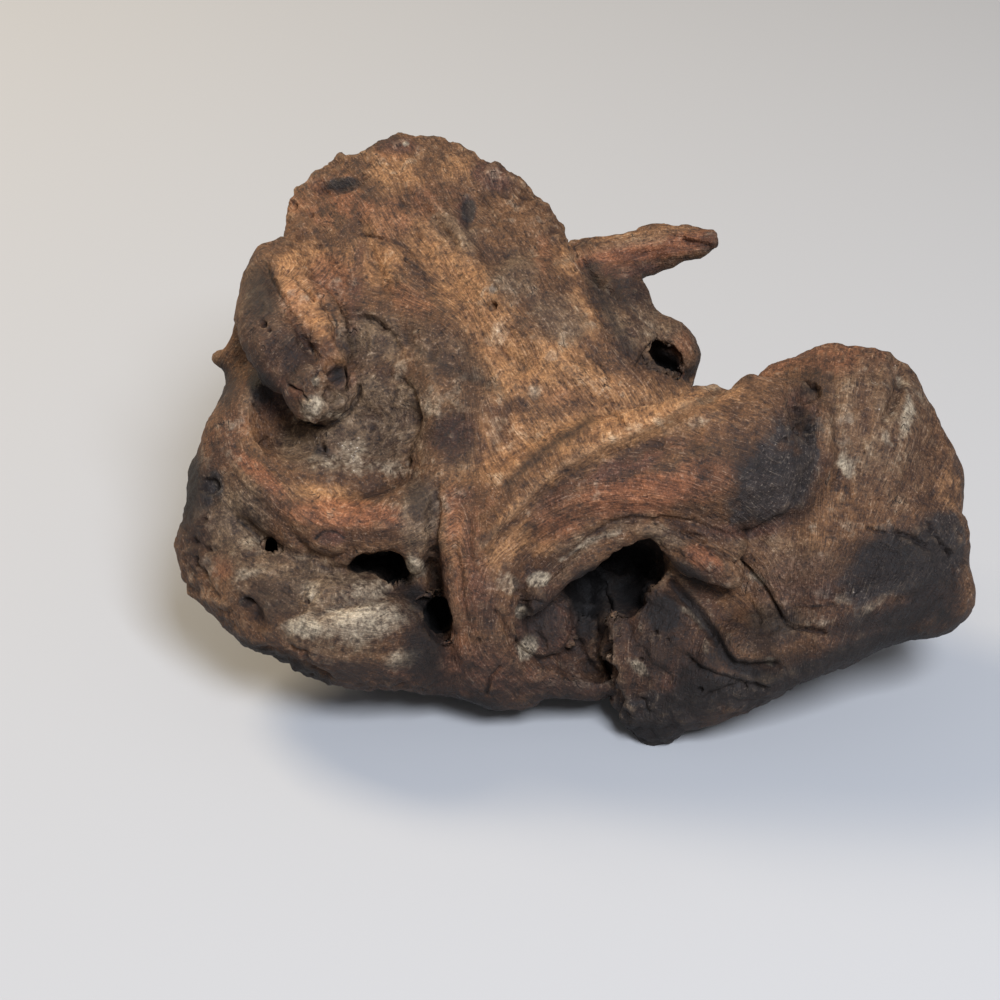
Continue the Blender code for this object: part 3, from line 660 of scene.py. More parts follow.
# %% Steps and cracks
# depth, width to the left and to the right of the line as it runs, then the line's right and up
STEPS = (
    # crest: slot, knot, cracks, worm holes, ridge from the top
    (2.4, 3.2, 0.5, ((-53.7, 93), (-50.7, 92.4), (-47.4, 92.4), (-44.1, 93.3), (-41.4, 95.4))),
    (1, 2, 2, ((-56.4, 94.8), (-53.4, 94.2))),
    (1.8, 2, 1.6, ((-10.2, 90), (-9, 86.4), (-9.6, 83.4))),
    (1.2, 0.5, 0.5, ((-41.4, 79.5), (-33.9, 78.3), (-27, 75.6))),
    (1.6, 0.4, 0.4, ((-28.5, 72.6), (-26.1, 70.8), (-23.4, 68.7), (-20.4, 65.4), (-17.4, 63))),
    (1.3, 0.45, 0.45, ((-5.1, 91.2), (-2.1, 87), (0, 83.1))),
    (1.2, 0.45, 0.45, ((28.8, 42), (31.8, 38.4), (33, 35.7))),
    (1.2, 0.45, 0.45, ((31.8, 27.6), (36, 24), (38.1, 21.9))),
    (-0.6, 2.6, 3, ((-36.9, 103.2), (-31.2, 94.2), (-26.4, 87), (-22.2, 80.4))),
    (1.2, 3, 3, ((-24, 85.8), (-19.8, 81), (-15, 77.4))),
    (-0.5, 1, 1, ((-34.8, 102), (-29.4, 93), (-25.2, 86.4))),
    (0.7, 0.8, 0.8, ((-33.6, 102.6), (-28.2, 93.6), (-24, 87))),
    (1, 2.5, 2.5, ((-22.5, 88.5), (-18, 81.6), (-14.4, 78))),
    (-1, 3, 3, ((-8.1, 99.6), (-2.4, 97.2), (3.6, 94.2))),
    (1.2, 2.2, 2.2, ((-36, 106.2), (-30, 105), (-25.5, 105.6))),
    (1.4, 2, 2, ((3, 93), (6.3, 90.6), (9.6, 91.2))),
    # lobe, its fibrous strip and the broken stub
    (2, 0.5, 0.6, ((-64.8, 67.5), (-62.1, 66.9), (-60, 63.9), (-57.6, 61.8), (-55.8, 59.7))),
    (1.2, 0.6, 2.2, ((-70.2, 70.8), (-66.9, 63), (-63.6, 57.9), (-60.9, 53.4), (-59.1, 48.9), (-56.4, 45),
        (-54.9, 42))),
    (2, 2.5, 0.6, ((-53.4, 58.2), (-50.7, 56.4), (-48.9, 52.5), (-48.6, 47.4), (-47.1, 43.8))),
    (1.2, 3, 3, ((-31.2, 50.4), (-24, 45), (-16.2, 40.2), (-7.5, 36.6), (0, 33.3), (2.4, 28.5), (0.9, 22.5),
        (-1.8, 15.6), (-6.6, 11.4), (-11.4, 9))),
    (-1, 5, 5, ((-22.8, 33.6), (-18.6, 27), (-17.4, 18.6), (-21, 10.5))),
    (2.4, 0.6, 0.7, ((-60, 24), (-56.4, 22.5), (-52.5, 21.9), (-48, 23.7), (-44.4, 27), (-42.3, 31.2),
        (-42.3, 34.2))),
    (3, 1.6, 1.8, ((-51, 40.2), (-48.6, 37.8), (-47.4, 34.2))),
    (1.2, 0.5, 0.8, ((-54.6, 38.4), (-56.4, 36), (-54.6, 33))),
    (-0.8, 1, 1, ((-53.4, 32.4), (-51.6, 29.4), (-48.6, 28.8))),
    (1.6, 0.5, 0.5, ((-63.6, 34.5), (-60, 32.4), (-57.6, 30))),
    (-0.8, 1.2, 1.2, ((-45.9, 40.2), (-44.4, 36), (-46.2, 31.2), (-49.2, 27.6))),
    # bowl: fold at its top, crescent step, pits
    (2.4, 0.5, 1.6, ((-40.5, 54.9), (-38.1, 54.6), (-35.4, 52.8))),
    (1, 0.8, 2.4, ((-35.4, 52.8), (-32.4, 49.2), (-30, 45))),
    (-0.7, 1.5, 1.5, ((-41.4, 56.4), (-37.2, 56.4), (-33, 53.4), (-30, 48))),
    (1.8, 0.9, 3.5, ((-33, 37.5), (-29.4, 36.3), (-26.4, 33), (-24.6, 28.8), (-24.3, 24.6))),
    (1, 0.9, 3, ((-24.3, 24.6), (-24.9, 21), (-26.4, 17.4))),
    (0.8, 0.8, 2, ((-27, 15), (-29.4, 11.1))),
    (1.6, 1.2, 1.2, ((-56.4, 16.2), (-54, 16.8), (-51.6, 14.4), (-48.9, 13.2))),
    (1.2, 1.6, 1.6, ((-71.4, 18.6), (-69, 18))),
    (1.4, 0.5, 0.5, ((-73.8, 28.8), (-72, 26.4), (-70.5, 23.4))),
    # left flank and ledge
    (-0.5, 2, 2, ((-83.4, 18), (-79.2, 10.5), (-73.2, 3.6), (-66, 0))),
    (0.9, 1.4, 2.5, ((-81.6, 11.4), (-78, 4.8), (-71.4, -2.4), (-63.6, -7.2))),
    (-1.2, 3, 3, ((-60, -4.2), (-51, -6), (-39, -7.2), (-27, -8.4))),
    (2, 0.8, 2.5, ((-44.4, -15.9), (-51, -18.6), (-57.6, -16.8), (-63, -12))),
    (-1.5, 3, 3, ((-54, -13.5), (-49.2, -15))),
    (0.8, 0.5, 0.5, ((-55.2, -11.4), (-52.8, -9.3), (-49.2, -9.6), (-46.8, -11.4))),
    (1.6, 1, 1, ((-92.4, -12), (-88.8, -14.4), (-85.8, -14.7))),
    (1.6, 1, 1, ((-91.2, -19.8), (-88.5, -25.2), (-84.9, -29.4))),
    (1, 0.6, 0.6, ((-78.6, -6), (-74.4, -9.6), (-71.4, -12.9))),
    (1, 0.6, 0.6, ((-76.2, -16.8), (-71.4, -15.6), (-68.4, -15.9))),
    # belly: folds, ring, eroded lower edge
    (2.6, 4, 4, ((-30.6, -24), (-26.4, -27.6), (-22.2, -31.8))),
    (1.6, 1.8, 1.8, ((-54.6, -34.8), (-51, -32.4), (-45, -30.6), (-37.8, -29.4), (-33.6, -26.4))),
    (-1.2, 4, 4, ((-51, -27), (-44.4, -27.6), (-38.4, -26.4))),
    (-1, 4, 4, ((-55.5, -38.4), (-46.5, -37.8), (-36, -36.6))),
    (1, 0.8, 0.8, ((-59.4, -27), (-58.8, -30), (-57, -30.9), (-55.8, -28.8))),
    (2, 1.6, 1.6, ((-78, -29.4), (-74.4, -31.8), (-73.2, -34.2))),
    (2.4, 1.4, 1.4, ((-69.6, -45), (-63.6, -48), (-58.2, -50.4), (-52.2, -52.8))),
    (1.2, 1.2, 1.2, ((-63, -45), (-58.8, -46.2))),
    (1.2, 0.8, 0.8, ((-84.6, -33.6), (-82.5, -34.8), (-80.4, -37.8))),
    # column
    (1.6, 0.9, 2.6, ((-18.9, 0), (-19.2, -12), (-19.2, -22.5), (-17.7, -30.6), (-15.9, -39), (-15.3, -48))),
    (0.9, 1, 1, ((-13.8, -13.5), (-12.3, -22.5), (-11.4, -30.6), (-9.6, -39))),
    (0.8, 1.2, 1.2, ((-9, -6), (-9.6, -13.5), (-7.8, -21))),
    (-1, 2, 2, ((-16.2, -6), (-16.2, -18), (-14.4, -27), (-12, -36))),
    (1.4, 0.6, 0.6, ((0, -50.4), (-3, -54), (-4.2, -58.2))),
    (1.2, 0.8, 0.8, ((-1.2, -33.6), (1.5, -37.5), (3.6, -42))),
    # arm: crisp ridge above, edge over the arch and the block below
    (-1.8, 4.5, 1.6, ((-4.2, -13.5), (0, -7.5), (6, -1.5), (12, 4.5), (18, 9), (24, 12.6), (30, 15.6),
        (36, 18), (45, 21), (54, 26.4), (60, 30), (66.6, 34.2))),
    (1.4, 2.4, 3.5, ((12, 0), (21, 6.6), (33, 12.6), (45, 16.2), (57, 21))),
    (1.6, 0.7, 2.2, ((48, -5.4), (57.6, -6.6), (69, -10.2), (75.6, -9.3), (86.4, -4.5), (88.8, 0.6),
        (91.8, 7.2), (95.4, 12.6), (95.7, 18), (95.4, 22.8))),
    (1.2, 0.8, 1.2, ((13.8, -24.6), (18.6, -18.9), (27, -10.8), (33.6, -7.2), (39.6, -5.4), (45.6, -6),
        (51.6, -8.4), (57, -10.5), (61.2, -11.4))),
    (1.4, 0.5, 0.5, ((49.2, -8.4), (55.2, -10.8), (61.2, -12.3))),
    (1.6, 0.5, 0.9, ((60, -13.5), (66.6, -15.6), (70.5, -18), (72.3, -19.8))),
    (1.6, 1.4, 1.4, ((87.6, 29.4), (90, 31.2), (93.6, 32.4), (96, 30.6))),
    (1.6, 1, 1, ((88.8, 24), (91.8, 21.6), (95.4, 22.2))),
    (1.4, 0.8, 0.8, ((87, 27), (89.1, 20.4), (93, 17.4))),
    # pocket under the arch: walls, plates and slits
    (2.5, 3.5, 0.7, ((4.8, -27.6), (5.7, -33), (5.7, -39), (7.2, -43.5))),
    (2.6, 0.7, 3, ((7.2, -43.5), (9.6, -46.5), (13.5, -48), (18.6, -46.8), (22.2, -43.5), (24.6, -38.4),
        (25.5, -31.8))),
    (1.6, 0.7, 2.5, ((23.4, -33.6), (23.4, -39), (24.6, -44.4), (27.6, -49.8), (31.8, -53.4))),
    (4, 0.8, 1.2, ((32.4, -25.8), (33, -33), (33, -39.6), (31.8, -46.5), (32.4, -51.6), (34.2, -57),
        (36, -60.6))),
    (1, 0.5, 0.5, ((6, -31.8), (9.6, -30.6), (13.2, -30.9))),
    # leg, folds beside it
    (3.6, 1.5, 2.2, ((51.6, -24.6), (57.6, -31.5), (61.8, -36.6), (65.1, -41.4), (67.2, -46.2),
        (70.2, -49.5), (75.3, -51), (82.8, -50.1))),
    (-1, 1.2, 1.2, ((43.5, -24), (49.5, -29.1), (57, -32.4), (63.6, -37.8), (67.2, -43.5), (71.4, -48.9))),
    (2.2, 0.5, 0.6, ((72, -18.3), (74.7, -21.3), (78.6, -25.8), (81.3, -29.4), (84, -34.2), (86.4, -37.2),
        (88.8, -38.1), (93, -38.7), (97.8, -39.3))),
    (1.2, 1, 1, ((75.6, -31.8), (77.4, -34.2), (78, -37.2))),
    (1, 0.6, 0.6, ((76.5, -39.6), (80.4, -40.2), (83.4, -38.4))),
    (1.4, 0.8, 0.8, ((57, -48), (60, -50.4), (64.8, -52.8), (72, -55.2))),
    (1.6, 0.9, 0.9, ((61.2, -60), (66.6, -57), (73.5, -55.8), (79.5, -57))),
    (1.2, 0.5, 0.5, ((42.6, -60), (44.4, -63.6))),
    (-0.8, 3, 3, ((42, -36), (45, -45), (46.8, -54))),
    # block: valleys from the top edge, cracked char
    (2.2, 1, 2, ((119.1, 42), (120.9, 36.6), (119.4, 30.6), (117, 25.8))),
    (1, 2.5, 2.5, ((130.8, 23.4), (126.6, 18), (121.8, 9.6))),
    (0.8, 1.5, 2, ((105.6, 44.4), (106.8, 36), (108, 28.5))),
    (0.6, 1.5, 1.5, ((99.6, 38.4), (100.2, 30), (101.4, 18))),
    (0.5, 1.2, 1.2, ((112.8, 38.4), (111.6, 27), (108.6, 15))),
    (0.5, 1.2, 1.2, ((121.5, 24), (116.4, 12), (114, 0))),
    (2, 0.6, 1, ((118.8, -9.6), (121.8, -10.2), (125.4, -12), (128.1, -13.5))),
    (2, 0.5, 0.8, ((129, -6.6), (130.8, -10.2), (133.2, -13.2), (135, -15.6))),
    (1.4, 0.5, 0.5, ((110.4, -8.4), (112.8, -9.6), (115.2, -9.6))),
    (1.2, 0.5, 0.5, ((135, -15.6), (136.2, -21), (136.5, -27))),
    (-1, 3, 2.5, ((81, -11.4), (90, -12.6), (102, -12), (111, -10.8))),
    (1.4, 2.5, 2.5, ((111, -37.5), (115.5, -33.6), (121.5, -30), (129, -27.6))),
    (1.2, 1.4, 1.4, ((123.6, -39), (127.5, -35.4), (132.6, -30))),
    (0.9, 0.5, 0.5, ((88.5, -31.2), (94.5, -31.8), (100.5, -31.2))),
    # prong, web and loop
    (2.4, 4, 0.6, ((21.9, 76.2), (25.2, 68.4), (28.2, 60), (31.8, 52.2), (36.6, 44.4), (42, 40.8),
        (49.2, 39), (57, 35.4))),
    (-1, 1.2, 1.2, ((42, 81.6), (49.2, 81.9), (52.8, 80.1))),
    (1.2, 1, 1.4, ((51.6, 80.1), (57, 77.1), (62.4, 76.2))),
    (1.2, 2.5, 2.5, ((30, 71.4), (39, 72.6), (48, 73.2))),
    (2.2, 0.8, 1.8, ((43.2, 42), (45, 45.9), (48, 48), (51, 46.8), (54, 43.2), (55.8, 38.4))),
)

# %% Holes, plates and crumbling edges
# right, up, radius and depth
HOLES = (
    (-48.9, 37.5, 2.6, 3.2), (-51, 31.2, 2.2, 1.2), (-2.7, 58.2, 1.5, 3), (-1.8, 63.3, 1.3, 0.9),
    (-71.1, 53.1, 1.1, 4), (-69.3, 51, 0.6, 1.5), (-28.2, 106.8, 0.6, 0.5), (-53.4, 15.9, 1.3, 2.5),
    (-49.8, 13.2, 1, 2), (-27.9, 11.4, 1.6, 2.2), (-69.6, 18, 1.4, 2), (-87, 4.2, 2.6, 2.6),
    (-69, -13.5, 2, 7), (-67.2, -14.7, 1.8, 6), (-76.2, -30.9, 1.6, 2.5), (-51, -11.1, 2.2, 0.6),
    (-57.9, -30, 0.8, 1.5), (92.7, 32.7, 3.2, 3), (90, 27, 2.4, 2.6), (92.4, 22.5, 2.6, 2.4),
    (89.4, 21, 1.4, 2), (93.6, 18.6, 1.4, 1.8), (85.8, 18, 0.9, 1), (96, 26.4, 1, 1.4),
    (46.8, -39.6, 0.8, 1.2), (50.4, -42, 0.6, 0.8), (42, -48, 0.7, 0.8), (28.8, 79.8, 0.6, 1),
    (60, -57, 1, 1.4), (73.5, -57, 1, 1.5), (22.2, 69, 1, 1.2), (18, 75, 0.8, 0.8),
    (-60, 79.5, 1.2, 1.4), (-56.4, 85.5, 0.9, 1.2), (-61.8, 88.5, 1, 1.4), (-54.6, 76.2, 0.8, 1),
    (-48.9, 71.4, 0.7, 0.8), (-6.6, -42, 0.8, 0.8), (18, -42, 0.8, 0.8), (114, 0, 0.6, 0.5),
    (108, 9, 0.6, 0.5), (-88.5, -6, 0.9, 1.2), (-91.2, -18, 1.2, 1.5),
)

# strips with a ragged edge: depth (below nought is raised), half width, then the line
PLATES = (
    (-1.3, 4.4, ((-64.8, 69.6), (-60.9, 63), (-57.3, 56.1), (-54.6, 50.7))),
    (-1.3, 2.8, ((-54.6, 50.7), (-52.2, 45.6), (-50.1, 42))),
    (-0.9, 1.5, ((-58.8, 30.6), (-57.6, 27), (-55.2, 24.6))),
    (-0.7, 1.6, ((49.8, -12.3), (57, -15.6), (63.6, -19.8))),
    (0.9, 2.2, ((7.2, -33.6), (8.4, -39.6), (12, -43.8))),
    (-0.6, 1.6, ((45, -27.6), (51, -31.8), (57, -36.6))),
    (-0.6, 1.4, ((52.2, -42), (57, -45), (61.8, -48.6))),
    (0.7, 1.4, ((42, -45), (45.6, -50.4), (50.4, -54))),
    (-0.7, 1.3, ((57, 78.9), (61.8, 78.3))),
    (0.8, 1.1, ((-64.2, -27), (-61.2, -29.4), (-60, -33))),
    (-0.5, 2, ((-80.4, -18), (-76.2, -21.6), (-71.4, -22.8))),
)

# where the wood crumbles, as ellipses: right, up, half sizes, turn in degrees, strength
ROUGH = (
    (-59.4, 85.5, 8.4, 16.5, 20, 0.9), (0, 96, 13.2, 4.8, -35, 1.5), (16.8, 82.5, 13.2, 4.2, -58, 1.4),
    (-45, 100.5, 15, 3.6, 20, 1), (-49.5, 44.4, 3.6, 4.2, 0, 1), (-53.4, 30.6, 10.2, 7.8, 0, 0.9),
    (45, -64.8, 13.8, 9, 0, 1.3), (45, -42, 12, 15, 0, 0.6), (6, -57.6, 18, 3, 0, 0.8),
    (-63, -48.6, 16.5, 4.8, -22, 1.5), (-33, -57, 15, 3, 0, 1), (91.8, 26.4, 6, 9.6, 0, 1.3),
    (62.4, 76.2, 4.2, 4.8, 0, 1), (129.6, -10.5, 12, 5.4, 0, 1.1), (-91.2, -18, 6, 15, 0, 1.2),
    (-78, -34.8, 7.8, 5.4, -30, 1.4), (72, -58.5, 18, 4.8, 15, 0.9), (-34.5, 49.5, 7.2, 7.8, 0, 0.5),
    (-39, 22.5, 16.5, 13.5, 0, 0.35), (29.4, 60, 3, 15, -20, 0.7), (108, 44.4, 18, 4.2, 0, 0.6),
    (-36.6, -19.5, 9.6, 6, 0, 0.8), (36, -18, 15, 12, 0, 0.6), (-51, 13.5, 12, 6, 0, 0.6),
    (10.5, -25.5, 6, 4.8, 0, 0.8), (-18, 105, 18, 6, 0, 0.6),
)
print(len(CREASES), "creases,", len(STEPS), "steps,", len(HOLES), "holes,", len(PLATES), "plates")

# %% [markdown]
# Where a section is steeper than the mesh can show, the edges near it are split first.

# %% Move and split
# the width under which a step is too sharp for the mesh, and the margin to the CAD box, in millimetres
SHARP = 1.3
MARGIN = 0.02


def move_skin(place):
    """Puts the skin's points at these places, kept inside the CAD box: the feet stay flat."""
    low, high = (np.array(corner) / MM for corner in cad_box)
    set_places(skin, np.clip(place, low + MARGIN, high - MARGIN))


def line_offset(points, line):
    """Distance from a broken line of the front view, and on which side: above nought is left of it."""
    line = np.array(line, float)
    best, side = np.full(len(points), 1e9), np.zeros(len(points))
    for a, b in zip(line, line[1:]):
        span, offset = b - a, points - a
        t = np.clip(offset @ span / (span @ span), 0.0, 1.0)
        away = np.linalg.norm(offset - t[:, None] * span, axis=1)
        nearer = away < best
        best = np.where(nearer, away, best)
        side = np.where(nearer, span[0] * offset[:, 1] - span[1] * offset[:, 0], side)
    return best, side


def split_near(reach, longest):
    """Splits the skin's edges that lie within reach of a sharp step or a hole and are longer than
    longest."""
    place, normal = places_of(skin)
    view = drawn(place)
    facing = np.flatnonzero(normal @ eye_axis > 0.1)
    points, close = view[facing, :2], np.full(len(facing), 1e9)
    for _, left, right, line in STEPS:
        if min(left, right) < SHARP:
            close = np.minimum(close, distance_to_line(points, line))
    for right, up, radius, _ in HOLES:
        close = np.minimum(close, np.hypot(points[:, 0] - right, points[:, 1] - up) - radius)
    for _, wide, line in PLATES:
        close = np.minimum(close, np.abs(distance_to_line(points, line) - wide))
    chosen = np.zeros(len(place), bool)
    chosen[facing] = close < reach
    pairs = edge_pairs(skin)
    length = np.linalg.norm(place[pairs[:, 0]] - place[pairs[:, 1]], axis=1)
    wanted = np.flatnonzero(chosen[pairs].all(axis=1) & (length > longest))
    bm = bmesh.new()
    bm.from_mesh(skin.data)
    bm.edges.ensure_lookup_table()
    edges = [bm.edges[k] for k in wanted.tolist()]
    bmesh.ops.subdivide_edges(bm, edges=edges, cuts=1, use_grid_fill=True)
    bm.to_mesh(skin.data)
    bm.free()


# %% Broad wear
def wear_broad():
    """Creases, the crest's grain, the block's ribs, the back's furrows and the general unevenness.
    Each is a depth in millimetres, and the depths are summed."""
    place, normal = places_of(skin)
    view = drawn(place)
    facing = normal @ eye_axis
    # front fades in where the skin turns to the eye, back where it turns the other way and down
    front = ramp(facing, 0.05, 0.45) * ramp(view[:, 2], -45.0, -30.0)
    back = ramp(normal @ np.array((0.0, 0.94, -0.34)), 0.0, 0.5)
    depth = np.zeros(len(place))
    for deep, wide, line in CREASES:
        depth += deep * np.exp(-(distance_to_line(view[:, :2], line) / wide) ** 2) * front
    own = place + MIDDLE
    # the crest's ridges run down it: their noise is 12 mm across and 36 mm long
    along, across = view[:, :2] @ np.array((0.6, -0.8)), view[:, :2] @ np.array((0.8, 0.6))
    crest = front * ramp(view[:, 1], 20.0, 40.0) * ramp(-view[:, 0], -60.0, -40.0)
    depth += crest * 1.6 * noise(np.stack([along / 36.0, across / 12.0, view[:, 2] / 24.0], 1), 1)
    # the block's ribs fan out from a point far below it: a sine of the angle
    fan = np.arctan2(view[:, 0] - 88.0, view[:, 1] + 90.0)
    ribs = front * ramp(view[:, 0], 94.0, 104.0) * ramp(view[:, 1], -16.0, 0.0)
    depth += ribs * 0.22 * np.sin(fan * 82.0 + 3.0 * noise(own / 24.0, 2))
    # the back's furrows, 4.5 mm deep on the left and 1.5 mm on the right, lie where a noise that is
    # drawn out upwards crosses nought
    bent = own[:, 0] + 7.0 * noise(own / 31.0, 3)
    furrow = 1.0 - 3.0 * np.abs(noise(np.stack([bent, own[:, 1] * 0.4, own[:, 2] * 0.3], 1) / 13.0, 4))
    depth += back * (4.5 - 3.0 * ramp(own[:, 0], 40.0, 70.0)) * np.clip(furrow, -0.6, 1.0)
    # unevenness everywhere
    depth += 1.8 * noise(own / 17.0, 7)
    move_skin(place - normal * depth[:, None])


# %% Fine wear
def wear_fine():
    """Steps, cracks and holes, fibre ridges that follow the grain, crumbling edges, worm holes and
    drying checks on every side. Each depth is in millimetres, on a noise whose scale is too."""
    place, normal = places_of(skin)
    view = drawn(place)
    facing = normal @ eye_axis
    front = ramp(facing, 0.0, 0.2) * ramp(view[:, 2], -60.0, -50.0)
    depth = np.zeros(len(place))
    near = np.flatnonzero(front > 0.0)
    points = view[near, :2]
    for deep, left, right, line in STEPS:
        away, side = line_offset(points, line)
        depth[near] += deep * np.exp(-(away / np.where(side > 0.0, left, right)) ** 2) * front[near]
    chipped, ragged = noise(place[near] / 1.5, 12), noise(place[near] / 2.5, 19)
    for right, up, radius, deep in HOLES:
        away = np.hypot(points[:, 0] - right, points[:, 1] - up) + 0.25 * radius * chipped
        depth[near] += deep * ramp(-away, -radius * 1.2, -radius * 0.7) * front[near]
    for deep, wide, line in PLATES:
        away = distance_to_line(points, line) + 0.8 * ragged
        depth[near] += deep * ramp(-away, -wide - 0.4, -wide + 0.4) * front[near]
    # crumbling: coarse and fine pits where the list says, and in clouds on every side
    crumbling = ellipses(ROUGH, view[:, :2]) * ramp(facing, -0.5, -0.1)
    crumbling = np.maximum(crumbling, 0.45 * ramp(noise(place / 19.0, 13), 0.15, 0.5))
    depth += crumbling * (1.2 * noise(place / 3.6, 14) + 0.6 * np.abs(noise(place / 1.9, 15)))
    # fibre ridges: noise that changes every 2.6 mm across the grain and slowly along it
    grain = grain_of(view, place)
    slow = place / 9.0
    flow = np.stack([grain / 2.6, slow[:, 0] + slow[:, 1], slow[:, 2]], 1)
    depth += 0.26 * noise(flow, 8) + 0.12 * noise(flow * 2.0, 9)
    depth += 0.55 * noise(place / 7.0, 16) + 0.36 * noise(place / 3.0, 10)
    # drying checks: narrow valleys where a noise along the grain crosses nought
    along = np.stack([grain / 5.0, slow[:, 0] * 0.7, slow[:, 1] + slow[:, 2]], 1)
    checks = np.exp(-(noise(along, 17) / 0.035) ** 2)
    depth += (0.25 + 0.9 * ramp(-facing, -0.3, 0.1)) * checks * ramp(noise(place / 8.0, 18), 0.05, 0.3)
    # worm holes, on the sides that the front view doesn't show
    random = np.random.default_rng(7)
    for centre in place[random.integers(0, len(place), WORM_HOLES)]:
        radius = random.uniform(0.6, 1.6)
        away = np.linalg.norm(place - centre, axis=1)
        depth += ramp(-facing, -0.45, 0.0) * radius * 1.6 * ramp(-away, -radius * 1.3, -radius * 0.6)
    move_skin(place - normal * depth[:, None])


# %% Wear the skin
WORM_HOLES = 90

wear_broad()
# reach and longest edge in millimetres
for reach, longest in ((1.8, 0.8), (1.2, 0.45)):
    split_near(reach, longest)
wear_fine()
print("after the wear:", len(skin.data.vertices), "points,", triangle_count(skin), "triangles")

# %% [markdown]
# ## Hollows as numbers
# Hollows are painted darker, for dirt and for the shade that falls in them, and ridges are rubbed pale.
# Ambient occlusion would need a bake, so how hollow each point lies is worked out here: on a small
# scale for cracks, on a large one for the bowl.

# %% Measure the hollows
def write_attribute(name, values):
    """One number per point, for the material to read."""
    layer = skin.data.attributes.new(name, "FLOAT", "POINT")
    layer.data.foreach_set("value", values.astype(np.float32))
    print(name, "from", round(float(values.min()), 3), "to", round(float(values.max()), 3))


def hollowness(rounds):
    """How far a point lies under the mean of its neighbourhood, in millimetres: places are averaged
    along the edges again and again, and compared with the start along the normal."""
    place, normal = places_of(skin)
    return ((averaged(skin, rounds) - place) * normal).sum(axis=1)


write_attribute("small_hollow", hollowness(6))
write_attribute("large_hollow", hollowness(60))

# %% [markdown]
# The skin is thinned to what one piece may hold. Collapsing the least important edges keeps the
# relief, and a little more of it is taken from the sides that the front view doesn't show. A point
# whose weight is nought would never be collapsed, so the front has one half.

# %% Thin the mesh
MOST_TRIANGLES = 196000
BIAS = 0.000001

place, normal = places_of(skin)
hidden = skin.vertex_groups.new(name="hidden")
hidden.add(np.arange(len(place)).tolist(), 0.5, "REPLACE")
hidden.add(np.flatnonzero(normal @ eye_axis < -0.1).tolist(), 1.0, "REPLACE")
thin = skin.modifiers.new("Thin", "DECIMATE")
thin.ratio = MOST_TRIANGLES / triangle_count(skin)
thin.vertex_group = "hidden"
thin.vertex_group_factor = BIAS
applied(skin)
move_skin(places_of(skin)[0])
skin.vertex_groups.clear()
print("thinned to", triangle_count(skin), "triangles")

# %% [markdown]
# Carving can leave a crumb hanging in a hollow. Starting from the rightmost point, whatever can be
# reached along the edges is kept, and the rest is deleted. Splitting can leave fins, small faces that
# hang on an edge which two others share. They go too, so that the skin is closed.

# %% Drop crumbs and fins
place, normal = places_of(skin)
pairs = edge_pairs(skin)
reached = np.zeros(len(place), bool)
reached[place[:, 0].argmax()] = True
before = 0
while reached.sum() > before:
    before = reached.sum()
    reached[pairs[reached[pairs].any(axis=1)]] = True
bm = bmesh.new()
bm.from_mesh(skin.data)
bm.verts.ensure_lookup_table()
crumbs = [bm.verts[k] for k in np.flatnonzero(~reached).tolist()]
bmesh.ops.delete(bm, geom=crumbs, context="VERTS")
edges = [edge for edge in bm.edges if edge.is_boundary]
fins = [edge.link_faces[0] for edge in edges
        if max(len(other.link_faces) for other in edge.link_faces[0].edges) > 2]
bmesh.ops.delete(bm, geom=list(dict.fromkeys(fins)), context="FACES")
bmesh.ops.holes_fill(bm, edges=[edge for edge in bm.edges if edge.is_boundary], sides=0)
bm.to_mesh(skin.data)
bm.free()
print("dropped", np.count_nonzero(~reached), "loose points and", len(edges), "open edges")
